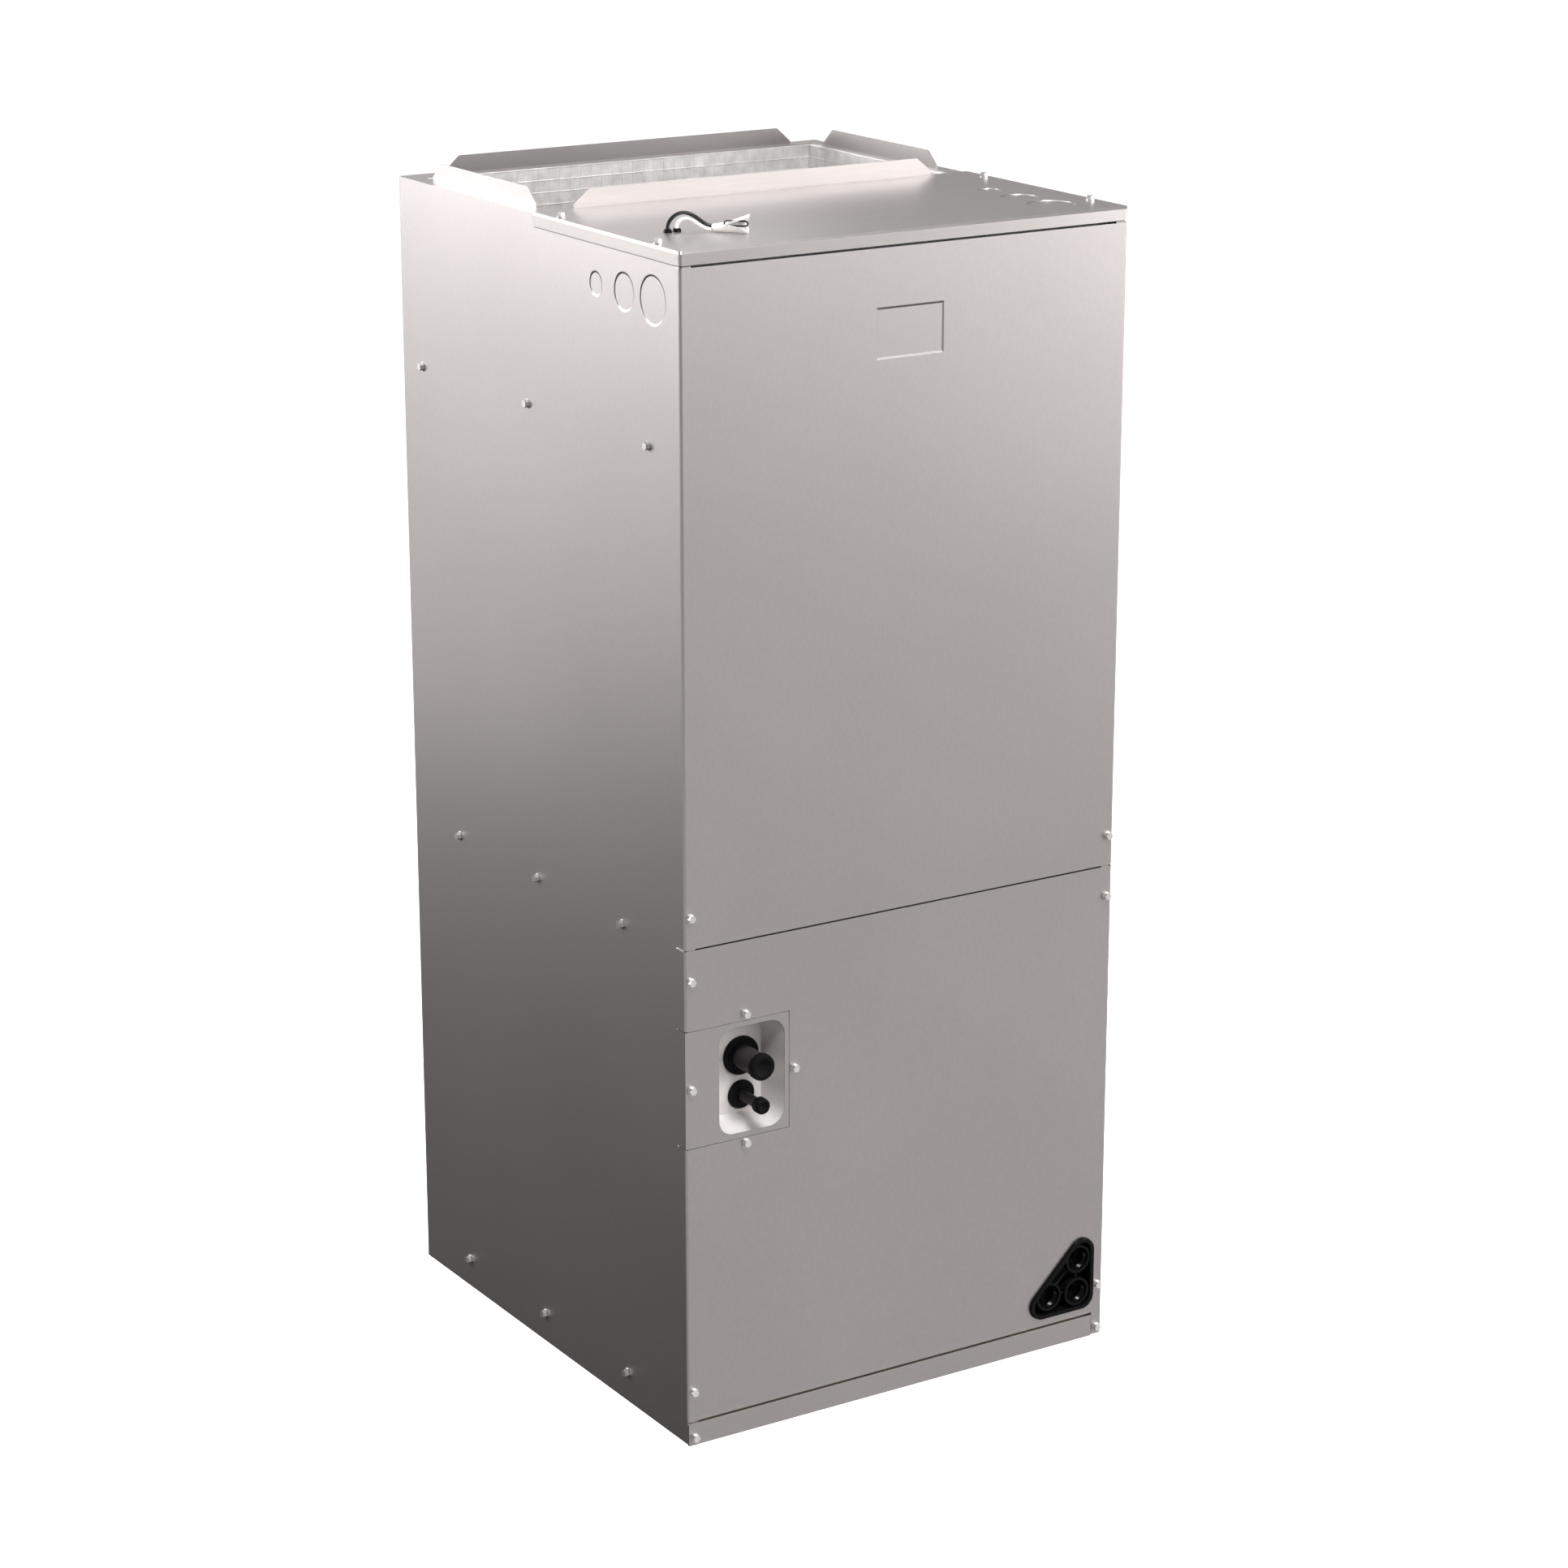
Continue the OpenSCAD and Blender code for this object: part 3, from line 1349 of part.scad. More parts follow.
panel_insulation_x = insulation_x - 4;
panel_insulation_y = front_y + sheet;

module upper_panel_insulation() {
    color("lightsteelblue") block([-panel_insulation_x, panel_insulation_y, upper_z0 + 16],
        [panel_insulation_x, panel_insulation_y + panel_insulation_t, deck_z - 18]);
}

module lower_panel_insulation() {
    keep = tubing_flange_w + 4;
    color("lightsteelblue") difference() {
        block([-panel_insulation_x, panel_insulation_y, lower_panel_z + 6],
            [panel_insulation_x, panel_insulation_y + panel_insulation_t, lower_z1 - 16]);
        block([-half_w, front_y, tubing_z - tubing_h / 2 - keep],
            [tubing_right + keep, front_y + 30, tubing_z + tubing_h / 2 + keep]);
        block([drain_x0 - 4, front_y, 0], [half_w, front_y + 30, drain_z + drain_w + 4]);
    }
}

module upper_panel_screws() {
    color("white") front_screws(upper_screws, front_y);
}

module lower_panel_screws() {
    color("white") front_screws(lower_screws, front_y);
}

// Filter and its cover

strip_proud = 2;
strip_z0 = 0.4;
strip_z1 = lower_panel_z - seam;

module filter_cover() {
    y0 = front_y - strip_proud;
    y1 = front_y + sheet;
    x1 = return_x - 2;
    color("silver") difference() {
        block([-half_w, y0, strip_z0], [x1, y1, strip_z1]);
        block([sheet - return_x, y0 + sheet, strip_z0 + sheet], [x1 - sheet, y1 + 1, strip_z1 - sheet]);
        block([sheet - half_w, y0 + sheet, strip_z0 + sheet],
            [2 * sheet - return_x, y0 + 2 * sheet, strip_z1 - sheet]);
        front_holes([strip_screw]);
    }
}

module filter_cover_screw() {
    color("white") front_screws([strip_screw], front_y - strip_proud);
}

module filter_frame() {
    wall = 1.2;
    lip = 18;
    color("burlywood") difference() {
        block([-filter_half, filter_y0, filter_z], [filter_half, filter_y1, filter_top]);
        block([wall - filter_half, filter_y0 + wall, filter_z + wall],
            [filter_half - wall, filter_y1 - wall, filter_top - wall]);
        block([lip - filter_half, filter_y0 + lip, filter_z - 1],
            [filter_half - lip, filter_y1 - lip, filter_top + 1]);
    }
}

module filter_media() {
    wall = 1.2;
    y0 = filter_y0 + wall + fit_gap;
    y1 = filter_y1 - wall - fit_gap;
    low = filter_z + wall + fit_gap;
    high = filter_top - wall - fit_gap;
    t = 2.4;
    pitch = (y1 - y0) / pleats;
    lower = [for (i = [0:2 * pleats]) [y0 + i * pitch / 2, i % 2 == 0 ? low : high - t]];
    upper = [for (p = lower) p + [0, t]];
    n = len(lower);
    x = filter_half - wall - fit_gap;
    color("whitesmoke") along_x(-x, x) polygon(concat(lower, [for (i = [n - 1:-1:0]) upper[i]]));
}

cabinet_wrapper();
top_cover();
insulation_left();
insulation_right();
insulation_back();
front_top_rail();
front_mid_rail();
front_base_rail();
mid_rail_left();
mid_rail_right();
base_rail_left();
base_rail_right();
blower_deck();
plenum_wall();
heater_cover_plate();
blower_side_left();
blower_side_right();
blower_scroll();
motor_shell();
motor_mount();
capacitor();
control_bracket();
control_board();
transformer();
blower_relay();
motor_lead();
drain_pan();
coil_fins_left();
coil_fins_right();
coil_end_plates();
coil_bends_left();
coil_bends_right();
coil_apex_cap();
coil_baffles();
suction_manifold();
liquid_line();
distributor();
tubing_panel();
suction_grommet();
liquid_grommet();
stub_caps();
cabinet_screws();
lead_bushings();
inner_leads();
lead_black();
lead_white();
lead_sleeve();
blower_wheel();
wheel_hub();
motor_shaft();
upper_panel();
upper_panel_insulation();
upper_panel_screws();
lower_panel();
lower_panel_insulation();
lower_panel_screws();
filter_cover();
filter_cover_screw();
filter_frame();
filter_media();
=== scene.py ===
import json
import math
import bmesh
import bpy
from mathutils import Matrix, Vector


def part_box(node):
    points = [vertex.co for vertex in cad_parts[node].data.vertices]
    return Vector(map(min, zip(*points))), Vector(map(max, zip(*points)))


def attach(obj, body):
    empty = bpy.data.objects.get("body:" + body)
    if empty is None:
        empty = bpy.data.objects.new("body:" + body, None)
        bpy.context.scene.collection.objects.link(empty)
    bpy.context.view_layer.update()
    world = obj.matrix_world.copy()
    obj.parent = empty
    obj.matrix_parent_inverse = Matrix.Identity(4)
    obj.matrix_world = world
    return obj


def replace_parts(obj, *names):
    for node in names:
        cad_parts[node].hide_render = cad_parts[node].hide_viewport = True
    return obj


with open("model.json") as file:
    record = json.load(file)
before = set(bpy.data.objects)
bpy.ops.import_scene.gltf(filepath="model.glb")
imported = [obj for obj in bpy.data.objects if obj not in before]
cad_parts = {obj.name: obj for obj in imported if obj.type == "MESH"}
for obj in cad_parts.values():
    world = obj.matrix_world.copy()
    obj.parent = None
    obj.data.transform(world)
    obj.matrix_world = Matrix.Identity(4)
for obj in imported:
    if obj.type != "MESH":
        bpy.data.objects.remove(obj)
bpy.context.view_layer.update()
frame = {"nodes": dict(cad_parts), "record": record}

nodes = frame["nodes"]

MM = 0.001


# Camera at the photograph's angle

IMAGE = 1932
FOCAL_PIXELS = 5000.84
SENSOR_MM = 36
CAMERA_MM = (-2041.2, -3291.9, 1725.0)
CAMERA_TURN = 32.23
CAMERA_DROP = 16.87
FARTHEST = 150

camera = bpy.data.objects.new("camera", bpy.data.cameras.new("camera"))
bpy.context.collection.objects.link(camera)
camera.data.sensor_width = SENSOR_MM
camera.data.lens = FOCAL_PIXELS / IMAGE * SENSOR_MM
camera.data.clip_end = FARTHEST
camera.location = Vector(CAMERA_MM) * MM
camera.rotation_euler = (math.radians(90 - CAMERA_DROP), 0, math.radians(-CAMERA_TURN))
bpy.context.scene.camera = camera


# Places on the cabinet that several pieces and finishes share, in millimetres

X, Y, Z = 0, 1, 2


def start_of(node, axis):
    """Where a CAD node begins along an axis, in millimetres."""
    return round(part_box(node)[0][axis] / MM, 2)


def end_of(node, axis):
    """Where a CAD node ends along an axis, in millimetres."""
    return round(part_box(node)[1][axis] / MM, 2)


def middle_of(node, axis):
    """The middle of a CAD node along an axis, in millimetres."""
    return round((start_of(node, axis) + end_of(node, axis)) / 2, 2)


COVER_TOP, SKIRT_FOOT, COVER_BACK = 1143.0, start_of("top_cover", Z), end_of("top_cover", Y)
FOLD_R, FOLD_FALL = 2.6, 1.36
PANEL_FACE = start_of("tubing_panel", Y)
DISH_LIP, DISH_FACE = PANEL_FACE + 0.3, PANEL_FACE + 0.9
PANEL_EDGE, DISH_SIDE = -218, -215
STUB_X, STUB_END = middle_of("suction_grommet", X), start_of("stub_caps", Y)
SUCTION_Z, LIQUID_Z = middle_of("suction_grommet", Z), middle_of("liquid_grommet", Z)
SUCTION_R, LIQUID_R = 11.1, 4.76
GROMMET_FACE = start_of("suction_grommet", Y)
KNOCKOUTS = ((-220.9, 22.2), (-170.1, 17.4), (-119.3, 11.1))
SIDE_KNOCKOUT_Z = 1093
COVER_KNOCKOUT_X = 190
BREAKER_PLACE, BREAKER_HALF = (0, 0, 1050), (36, 23)
SHEAR_INSIDE, SHEAR_OUTSIDE, SHEAR_DEPTH = 1.1, 0.9, 0.8


# Colours, nodes and materials

def linear(hex_colour):
    """An sRGB hex colour as linear red, green, blue and alpha."""
    parts = [int(hex_colour[i:i + 2], 16) / 255 for i in (1, 3, 5)]
    return [c / 12.92 if c <= 0.04045 else ((c + 0.055) / 1.055) ** 2.4 for c in parts] + [1.0]


# Sockets of a Mix node that mixes colours; like those of Math nodes, they go by number, as their names repeat

MIX, A, B = 0, 6, 7


def join(tree, node, inputs):
    """Gives a node's inputs their values, or links them to a socket or to another node's result."""
    for name, value in inputs.items():
        if isinstance(value, bpy.types.Node):
            value = next(out for out in value.outputs if out.enabled)
        if isinstance(value, bpy.types.NodeSocket):
            tree.links.new(value, node.inputs[name])
        else:
            node.inputs[name].default_value = value


def add(tree, kind, inputs=None, **settings):
    """Adds one node with its settings and with inputs as join takes them."""
    node = tree.nodes.new(kind)
    for name, value in settings.items():
        setattr(node, name, value)
    join(tree, node, inputs or {})
    return node


def features(size_mm):
    """The scale of a pattern with features of about size_mm."""
    return 1000 / size_mm


def opened(made):
    """A material with its tree, its shader and the object's coordinates in metres."""
    tree = made.node_tree
    return made, tree, tree.nodes["Principled BSDF"], add(tree, "ShaderNodeTexCoord").outputs["Object"]


def material(name, colour, roughness, metallic=0.0, **inputs):
    """A new material of one colour, to which patterns are added."""
    made = bpy.data.materials.new(name)
    made.use_nodes = True
    made, tree, shader, place = opened(made)
    join(tree, shader, {"Base Color": linear(colour), "Metallic": metallic, "Roughness": roughness})
    join(tree, shader, {socket.replace("_", " "): value for socket, value in inputs.items()})
    return made, tree, shader, place


def variant(name, sheet):
    """A copy of a material, to which more is added."""
    made = sheet.copy()
    made.name = name
    return opened(made)


def prepainted_steel(name, light, dark, grain_scale, gloss):
    """Metallic prepainted steel: satin, with a fine rolled grain and faint clouds in its tone."""
    made, tree, shader, place = material(name, light, roughness=0.38, metallic=0.9, Coat_Weight=0.05,
                                         Coat_Roughness=0.3)
    cloud = add(tree, "ShaderNodeTexNoise", {"Vector": place, "Scale": features(240), "Detail": 3.0})
    rolling = add(tree, "ShaderNodeMapping", {"Vector": place, "Scale": grain_scale})
    rolled = add(tree, "ShaderNodeTexNoise", {"Vector": rolling, "Scale": features(26), "Detail": 6.0,
                                              "Roughness": 0.6})
    both = add(tree, "ShaderNodeMath", {0: cloud, 1: rolled}, operation="ADD")
    tone = add(tree, "ShaderNodeMapRange", {"Value": both, "From Min": 0.75, "From Max": 1.25})
    sheen = add(tree, "ShaderNodeMapRange", {"Value": rolled, "From Min": 0.25, "From Max": 0.75,
                                             "To Min": gloss[0], "To Max": gloss[1]})
    texture = add(tree, "ShaderNodeTexNoise", {"Vector": place, "Scale": features(1.2), "Detail": 3.0})
    join(tree, shader, {
        "Base Color": add(tree, "ShaderNodeMix", {MIX: tone, A: linear(light), B: linear(dark)},
                          data_type="RGBA"),
        "Roughness": sheen,
        "Normal": add(tree, "ShaderNodeBump", {"Height": texture, "Strength": 1.0, "Distance": 0.01 * MM})})
    return made


def drawn_steel_painted_light(name, sheet):
    """The same sheet drawn into a dish: behind the panel's face the stretched paint is matt, and its colour
    is painted paler, a painted light that brightens the dish.
    """
    made, tree, shader, place = variant(name, sheet)
    at = add(tree, "ShaderNodeSeparateXYZ", {"Vector": place}).outputs
    behind = add(tree, "ShaderNodeMapRange", {"Value": at["Y"], "From Min": DISH_LIP * MM,
                                              "From Max": DISH_FACE * MM})
    inboard = add(tree, "ShaderNodeMapRange", {"Value": at["X"], "From Min": PANEL_EDGE * MM,
                                               "From Max": DISH_SIDE * MM})
    drawn = add(tree, "ShaderNodeMath", {0: behind, 1: inboard}, operation="MULTIPLY")
    flat_colour = shader.inputs["Base Color"].links[0].from_socket
    # painted light: the dish is painted paler than the flat sheet, and it is also less metallic and rougher
    # there
    join(tree, shader, {
        "Base Color": add(tree, "ShaderNodeMix", {MIX: drawn, A: flat_colour, B: linear("#E2DEDC")},
                          data_type="RGBA"),
        "Metallic": add(tree, "ShaderNodeMapRange", {"Value": drawn, "To Min": 0.9, "To Max": 0.2}),
        "Roughness": add(tree, "ShaderNodeMapRange", {"Value": drawn, "To Min": 0.38, "To Max": 0.6})})
    return made


def sheared_edges(tree, place, flat, marks):
    """Height that falls over a rounded edge 2 mm wide to each half sheared knockout, a disc or a window."""
    level = None
    for centre, size in marks:
        centre = [c * MM for c in centre]
        shift = add(tree, "ShaderNodeVectorMath", {0: place, 1: centre}, operation="SUBTRACT")
        within = add(tree, "ShaderNodeVectorMath", {0: shift, 1: flat}, operation="MULTIPLY")
        if len(size) == 1:
            ways = [add(tree, "ShaderNodeVectorMath", {0: within}, operation="LENGTH")]
        else:
            split = add(tree, "ShaderNodeSeparateXYZ", {"Vector": within}).outputs
            ways = [add(tree, "ShaderNodeMath", {0: split[axis]}, operation="ABSOLUTE")
                    for axis in ("X", "Z")]
        falls = [add(tree, "ShaderNodeMapRange", {"Value": away, "From Min": (edge - SHEAR_INSIDE) * MM,
                                                  "From Max": (edge + SHEAR_OUTSIDE) * MM})
                 for away, edge in zip(ways, size)]
        fall = falls[0]
        if len(falls) > 1:
            fall = add(tree, "ShaderNodeMath", {0: falls[0], 1: falls[1]}, operation="MAXIMUM")
        if level:
            fall = add(tree, "ShaderNodeMath", {0: level, 1: fall}, operation="MINIMUM")
        level = fall
    return level


def wash_coat(tree, shader, place, wash):
    """The duller coat on the back of the sheet, which shows on the inner faces of the duct flanges.

    A face is an inner one where its normal points towards the cabinet's middle."""
    height = add(tree, "ShaderNodeSeparateXYZ", {"Vector": place}).outputs["Z"]
    normal = add(tree, "ShaderNodeNewGeometry").outputs["Normal"]
    outward = add(tree, "ShaderNodeVectorMath", {0: normal, 1: place}, operation="DOT_PRODUCT")
    inside = add(tree, "ShaderNodeMapRange", {"Value": outward, "From Min": -0.06, "From Max": -0.04,
                                              "To Min": 1, "To Max": 0})
    above = add(tree, "ShaderNodeMapRange", {"Value": height, "From Min": (COVER_TOP + 0.2) * MM,
                                             "From Max": (COVER_TOP + 0.6) * MM})
    washed = add(tree, "ShaderNodeMath", {0: inside, 1: above}, operation="MULTIPLY")
    face = shader.inputs["Base Color"].links[0].from_socket
    join(tree, shader, {
        "Base Color": add(tree, "ShaderNodeMix", {MIX: washed, A: face, B: linear(wash)}, data_type="RGBA")})


def skirt_painted_shadow(tree, shader, place, dark):
    """The painted shadow under the top cover's side skirt: a dark band 1 mm wide on the sides, just below the
    skirt's foot.
    """
    at = add(tree, "ShaderNodeSeparateXYZ", {"Vector": place}).outputs
    under = add(tree, "ShaderNodeMapRange", {"Value": at["Z"], "From Min": (SKIRT_FOOT - 1.6) * MM,
                                             "From Max": (SKIRT_FOOT - 0.8) * MM})
    ahead = add(tree, "ShaderNodeMapRange", {"Value": at["Y"], "From Min": (COVER_BACK - 0.5) * MM,
                                             "From Max": (COVER_BACK + 0.5) * MM, "To Min": 1, "To Max": 0})
    below = add(tree, "ShaderNodeMapRange", {"Value": at["Z"], "From Min": (COVER_TOP - 1) * MM,
                                             "From Max": (COVER_TOP - 0.5) * MM, "To Min": 1, "To Max": 0})
    skirt_shadow = add(tree, "ShaderNodeMath", {0: under, 1: ahead}, operation="MULTIPLY")
    skirt_shadow = add(tree, "ShaderNodeMath", {0: skirt_shadow, 1: below}, operation="MULTIPLY")
    face = shader.inputs["Base Color"].links[0].from_socket
    join(tree, shader, {
        "Base Color": add(tree, "ShaderNodeMix", {MIX: skirt_shadow, A: face, B: linear(dark)}, data_type="RGBA")})


def stamped_steel(name, sheet, flat, marks, wash=None, folded=False):
    """The same sheet with knockouts in it, whose sheared edges catch the light.

    flat tells which axes lie in the sheet. Each mark has a centre, and a radius or half its width and height.
    wash is the coat on the sheet's back, and with it comes a painted shadow under the cover's skirt; folded
    rounds the cover's fold, a bright line."""
    made, tree, shader, place = variant(name, sheet)
    level = sheared_edges(tree, place, flat, marks)
    if wash:
        wash_coat(tree, shader, place, wash)
        # painted shadow: a dark band on the sides under the top cover's skirt
        skirt_painted_shadow(tree, shader, place, "#5E5A59")
    if folded:
        height = add(tree, "ShaderNodeSeparateXYZ", {"Vector": place}).outputs["Z"]
        fold = add(tree, "ShaderNodeMapRange", {"Value": height, "From Min": (COVER_TOP - FOLD_R) * MM,
                                                "From Max": COVER_TOP * MM, "To Min": FOLD_FALL / SHEAR_DEPTH,
                                                "To Max": 0})
        level = add(tree, "ShaderNodeMath", {0: level, 1: fold}, operation="ADD")
    texture = shader.inputs["Normal"].links[0].from_socket
    join(tree, shader, {
        "Normal": add(tree, "ShaderNodeBump", {"Height": level, "Normal": texture, "Strength": 1.0,
                                               "Distance": SHEAR_DEPTH * MM})})
    return made


def galvanised_steel(name, light, dark):
    """Bare galvanised sheet: zinc spangle of 8 mm grains that catch the light one by one."""
    made, tree, shader, place = material(name, light, roughness=0.4, metallic=0.9)
    grains = add(tree, "ShaderNodeTexVoronoi", {"Vector": place, "Scale": features(8)}).outputs["Color"]
    tone = add(tree, "ShaderNodeSeparateColor", {"Color": grains}).outputs["Red"]
    texture = add(tree, "ShaderNodeTexNoise", {"Vector": place, "Scale": features(3)})
    join(tree, shader, {
        "Base Color": add(tree, "ShaderNodeMix", {MIX: tone, A: linear(dark), B: linear(light)},
                          data_type="RGBA"),
        "Roughness": add(tree, "ShaderNodeMapRange", {"Value": tone, "To Min": 0.3, "To Max": 0.5}),
        "Normal": add(tree, "ShaderNodeBump", {"Height": texture, "Strength": 1.0, "Distance": 0.01 * MM})})
    return made


def foil_facing(name):
    """Foil faced insulation: crinkled foil over a scrim of threads 12 mm apart, seen as faint squares."""
    made, tree, shader, place = material(name, "#EDEAE8", roughness=0.42, metallic=0.65)
    crinkle = add(tree, "ShaderNodeTexNoise", {"Vector": place, "Scale": features(14), "Detail": 4.0,
                                               "Roughness": 0.6})
    threads = []
    for axis in ("X", "Y", "Z"):
        at = add(tree, "ShaderNodeSeparateXYZ", {"Vector": place}).outputs[axis]
        angle = add(tree, "ShaderNodeMath", {0: at, 1: 2 * math.pi * features(12)}, operation="MULTIPLY")
        wave = add(tree, "ShaderNodeMath", {0: angle}, operation="COSINE")
        threads.append(add(tree, "ShaderNodeMapRange", {"Value": wave, "From Min": 0.93, "To Max": 0.5}))
    scrim = add(tree, "ShaderNodeMath", {0: threads[0], 1: threads[1]}, operation="MAXIMUM")
    scrim = add(tree, "ShaderNodeMath", {0: scrim, 1: threads[2]}, operation="MAXIMUM")
    height = add(tree, "ShaderNodeMath", {0: scrim, 1: crinkle}, operation="ADD")
    tone = add(tree, "ShaderNodeMapRange", {"Value": crinkle, "From Min": 0.35, "From Max": 0.65})
    join(tree, shader, {
        "Base Color": add(tree, "ShaderNodeMix", {MIX: tone, A: linear("#E0DDDB"), B: linear("#F6F3F1")},
                          data_type="RGBA"),
        "Normal": add(tree, "ShaderNodeBump", {"Height": height, "Strength": 1.0, "Distance": 0.5 * MM})})
    return made


def zinc_plated(name):
    """Zinc plated screws, bright and slightly scuffed."""
    made, tree, shader, place = material(name, "#E6E3E1", roughness=0.3, metallic=0.8)
    scuff = add(tree, "ShaderNodeTexNoise", {"Vector": place, "Scale": features(0.8), "Detail": 3.0})
    join(tree, shader, {"Roughness": add(tree, "ShaderNodeMapRange", {
        "Value": scuff, "From Min": 0.3, "From Max": 0.7, "To Min": 0.22, "To Max": 0.4})})
    return made


def fin_stock(name):
    """Aluminium fin stock: bright rolled sheet with a fine grain along the fins."""
    made, tree, shader, place = material(name, "#C9CBCE", roughness=0.36, metallic=0.9)
    rolling = add(tree, "ShaderNodeMapping", {"Vector": place, "Scale": (6, 6, 1)})
    rolled = add(tree, "ShaderNodeTexNoise", {"Vector": rolling, "Scale": features(5)})
    tone = add(tree, "ShaderNodeMapRange", {"Value": rolled, "From Min": 0.3, "From Max": 0.7})
    join(tree, shader, {"Base Color": add(tree, "ShaderNodeMix", {
        MIX: tone, A: linear("#BFC1C4"), B: linear("#D6D8DA")}, data_type="RGBA")})
    return made


def drawn_copper(name):
    """Drawn copper tube: warm, with browned patches where it was brazed."""
    made, tree, shader, place = material(name, "#C77F55", roughness=0.3, metallic=1.0)
    patch = add(tree, "ShaderNodeTexNoise", {"Vector": place, "Scale": features(40), "Detail": 3.0})
    browned = add(tree, "ShaderNodeMapRange", {"Value": patch, "From Min": 0.45, "From Max": 0.7})
    join(tree, shader, {
        "Base Color": add(tree, "ShaderNodeMix", {MIX: browned, A: linear("#CC8459"), B: linear("#8A4E33")},
                          data_type="RGBA"),
        "Roughness": add(tree, "ShaderNodeMapRange", {"Value": patch, "From Min": 0.4, "From Max": 0.7,
                                                      "To Min": 0.22, "To Max": 0.45})})
    return made


def turned_brass(name):
    """Turned brass with fine tool marks."""
    made, tree, shader, place = material(name, "#C9A35A", roughness=0.26, metallic=1.0)
    turning = add(tree, "ShaderNodeMapping", {"Vector": place, "Scale": (1, 1, 12)})
    marks = add(tree, "ShaderNodeTexNoise", {"Vector": turning, "Scale": features(6)})
    join(tree, shader, {
        "Normal": add(tree, "ShaderNodeBump", {"Height": marks, "Strength": 1.0, "Distance": 0.01 * MM})})
    return made


def moulded_black(name, roughness, grain_mm, dark="#080809", light="#121214", shine=0.12):
    """Black moulded plastic or rubber with a fine moulded grain."""
    made, tree, shader, place = material(name, "#0B0B0C", roughness=roughness, Specular_IOR_Level=shine)
    grain = add(tree, "ShaderNodeTexNoise", {"Vector": place, "Scale": features(grain_mm), "Detail": 3.0})
    tone = add(tree, "ShaderNodeMapRange", {"Value": grain, "From Min": 0.3, "From Max": 0.7})
    join(tree, shader, {
        "Base Color": add(tree, "ShaderNodeMix", {MIX: tone, A: linear(dark), B: linear(light)},
                          data_type="RGBA"),
        "Normal": add(tree, "ShaderNodeBump", {"Height": grain, "Strength": 1.0, "Distance": 0.02 * MM})})
    return made


def smooth_plastic(name, light, dark):
    """PVC, nylon or tape, smooth with a soft gloss and barely uneven in tone."""
    made, tree, shader, place = material(name, light, roughness=0.35)
    cloud = add(tree, "ShaderNodeTexNoise", {"Vector": place, "Scale": features(9)})
    tone = add(tree, "ShaderNodeMapRange", {"Value": cloud, "From Min": 0.3, "From Max": 0.7})
    join(tree, shader, {"Base Color": add(tree, "ShaderNodeMix", {
        MIX: tone, A: linear(light), B: linear(dark)}, data_type="RGBA")})
    return made


def sprayed_enamel(name):
    """Black sprayed enamel on the motor and the transformer, with fine spray texture."""
    made, tree, shader, place = material(name, "#17181A", roughness=0.4, metallic=0.2)
    spray = add(tree, "ShaderNodeTexNoise", {"Vector": place, "Scale": features(1.2), "Detail": 3.0})
    join(tree, shader, {
        "Roughness": add(tree, "ShaderNodeMapRange", {"Value": spray, "From Min": 0.3, "From Max": 0.7,
                                                      "To Min": 0.34, "To Max": 0.5}),
        "Normal": add(tree, "ShaderNodeBump", {"Height": spray, "Strength": 1.0, "Distance": 0.02 * MM})})
    return made


def ground_steel(name):
    """Ground steel shaft and hub with turning marks round the axis."""
    made, tree, shader, place = material(name, "#A7A8AA", roughness=0.28, metallic=1.0)
    turning = add(tree, "ShaderNodeMapping", {"Vector": place, "Scale": (14, 1, 1)})
    marks = add(tree, "ShaderNodeTexNoise", {"Vector": turning, "Scale": features(7)})
    join(tree, shader, {"Roughness": add(tree, "ShaderNodeMapRange", {
        "Value": marks, "From Min": 0.3, "From Max": 0.7, "To Min": 0.2, "To Max": 0.4})})
    return made


def solder_mask(name):
    """Green circuit board with the darker traces under its mask."""
    made, tree, shader, place = material(name, "#1C5A38", roughness=0.3)
    traces = add(tree, "ShaderNodeTexVoronoi", {"Vector": place, "Scale": features(6)},
                 feature="DISTANCE_TO_EDGE")
    tone = add(tree, "ShaderNodeMapRange", {"Value": traces, "From Min": 0.02, "From Max": 0.08})
    join(tree, shader, {"Base Color": add(tree, "ShaderNodeMix", {
        MIX: tone, A: linear("#0E3B23"), B: linear("#1F6440")}, data_type="RGBA")})
    return made


def brown_card(name):
    """Beverage board of the filter's frame: brown card with a soft fibre pattern."""
    made, tree, shader, place = material(name, "#B39468", roughness=0.85)
    lay = add(tree, "ShaderNodeMapping", {"Vector": place, "Scale": (1, 5, 5)})
    fibre = add(tree, "ShaderNodeTexNoise", {"Vector": lay, "Scale": features(4), "Detail": 5.0})
    join(tree, shader, {
        "Base Color": add(tree, "ShaderNodeMix", {MIX: fibre, A: linear("#9C7F57"), B: linear("#C2A67C")},
                          data_type="RGBA"),
        "Normal": add(tree, "ShaderNodeBump", {"Height": fibre, "Strength": 1.0, "Distance": 0.05 * MM})})
    return made


def spun_polyester(name):
    """Spun filter cloth: white fibres 0.6 mm wide, drawn coarser so that they show."""
    made, tree, shader, place = material(name, "#E8E9EA", roughness=0.95)
    lay = add(tree, "ShaderNodeMapping", {"Vector": place, "Scale": (1, 4, 4)})
    fibre = add(tree, "ShaderNodeTexNoise", {"Vector": lay, "Scale": features(2.4), "Detail": 6.0,
                                             "Roughness": 0.7})
    join(tree, shader, {
        "Base Color": add(tree, "ShaderNodeMix", {MIX: fibre, A: linear("#C9CCCF"), B: linear("#F4F4F3")},
                          data_type="RGBA"),
        "Normal": add(tree, "ShaderNodeBump", {"Height": fibre, "Strength": 1.0, "Distance": 0.2 * MM})})
    return made


# What each of the record's material slots is made of

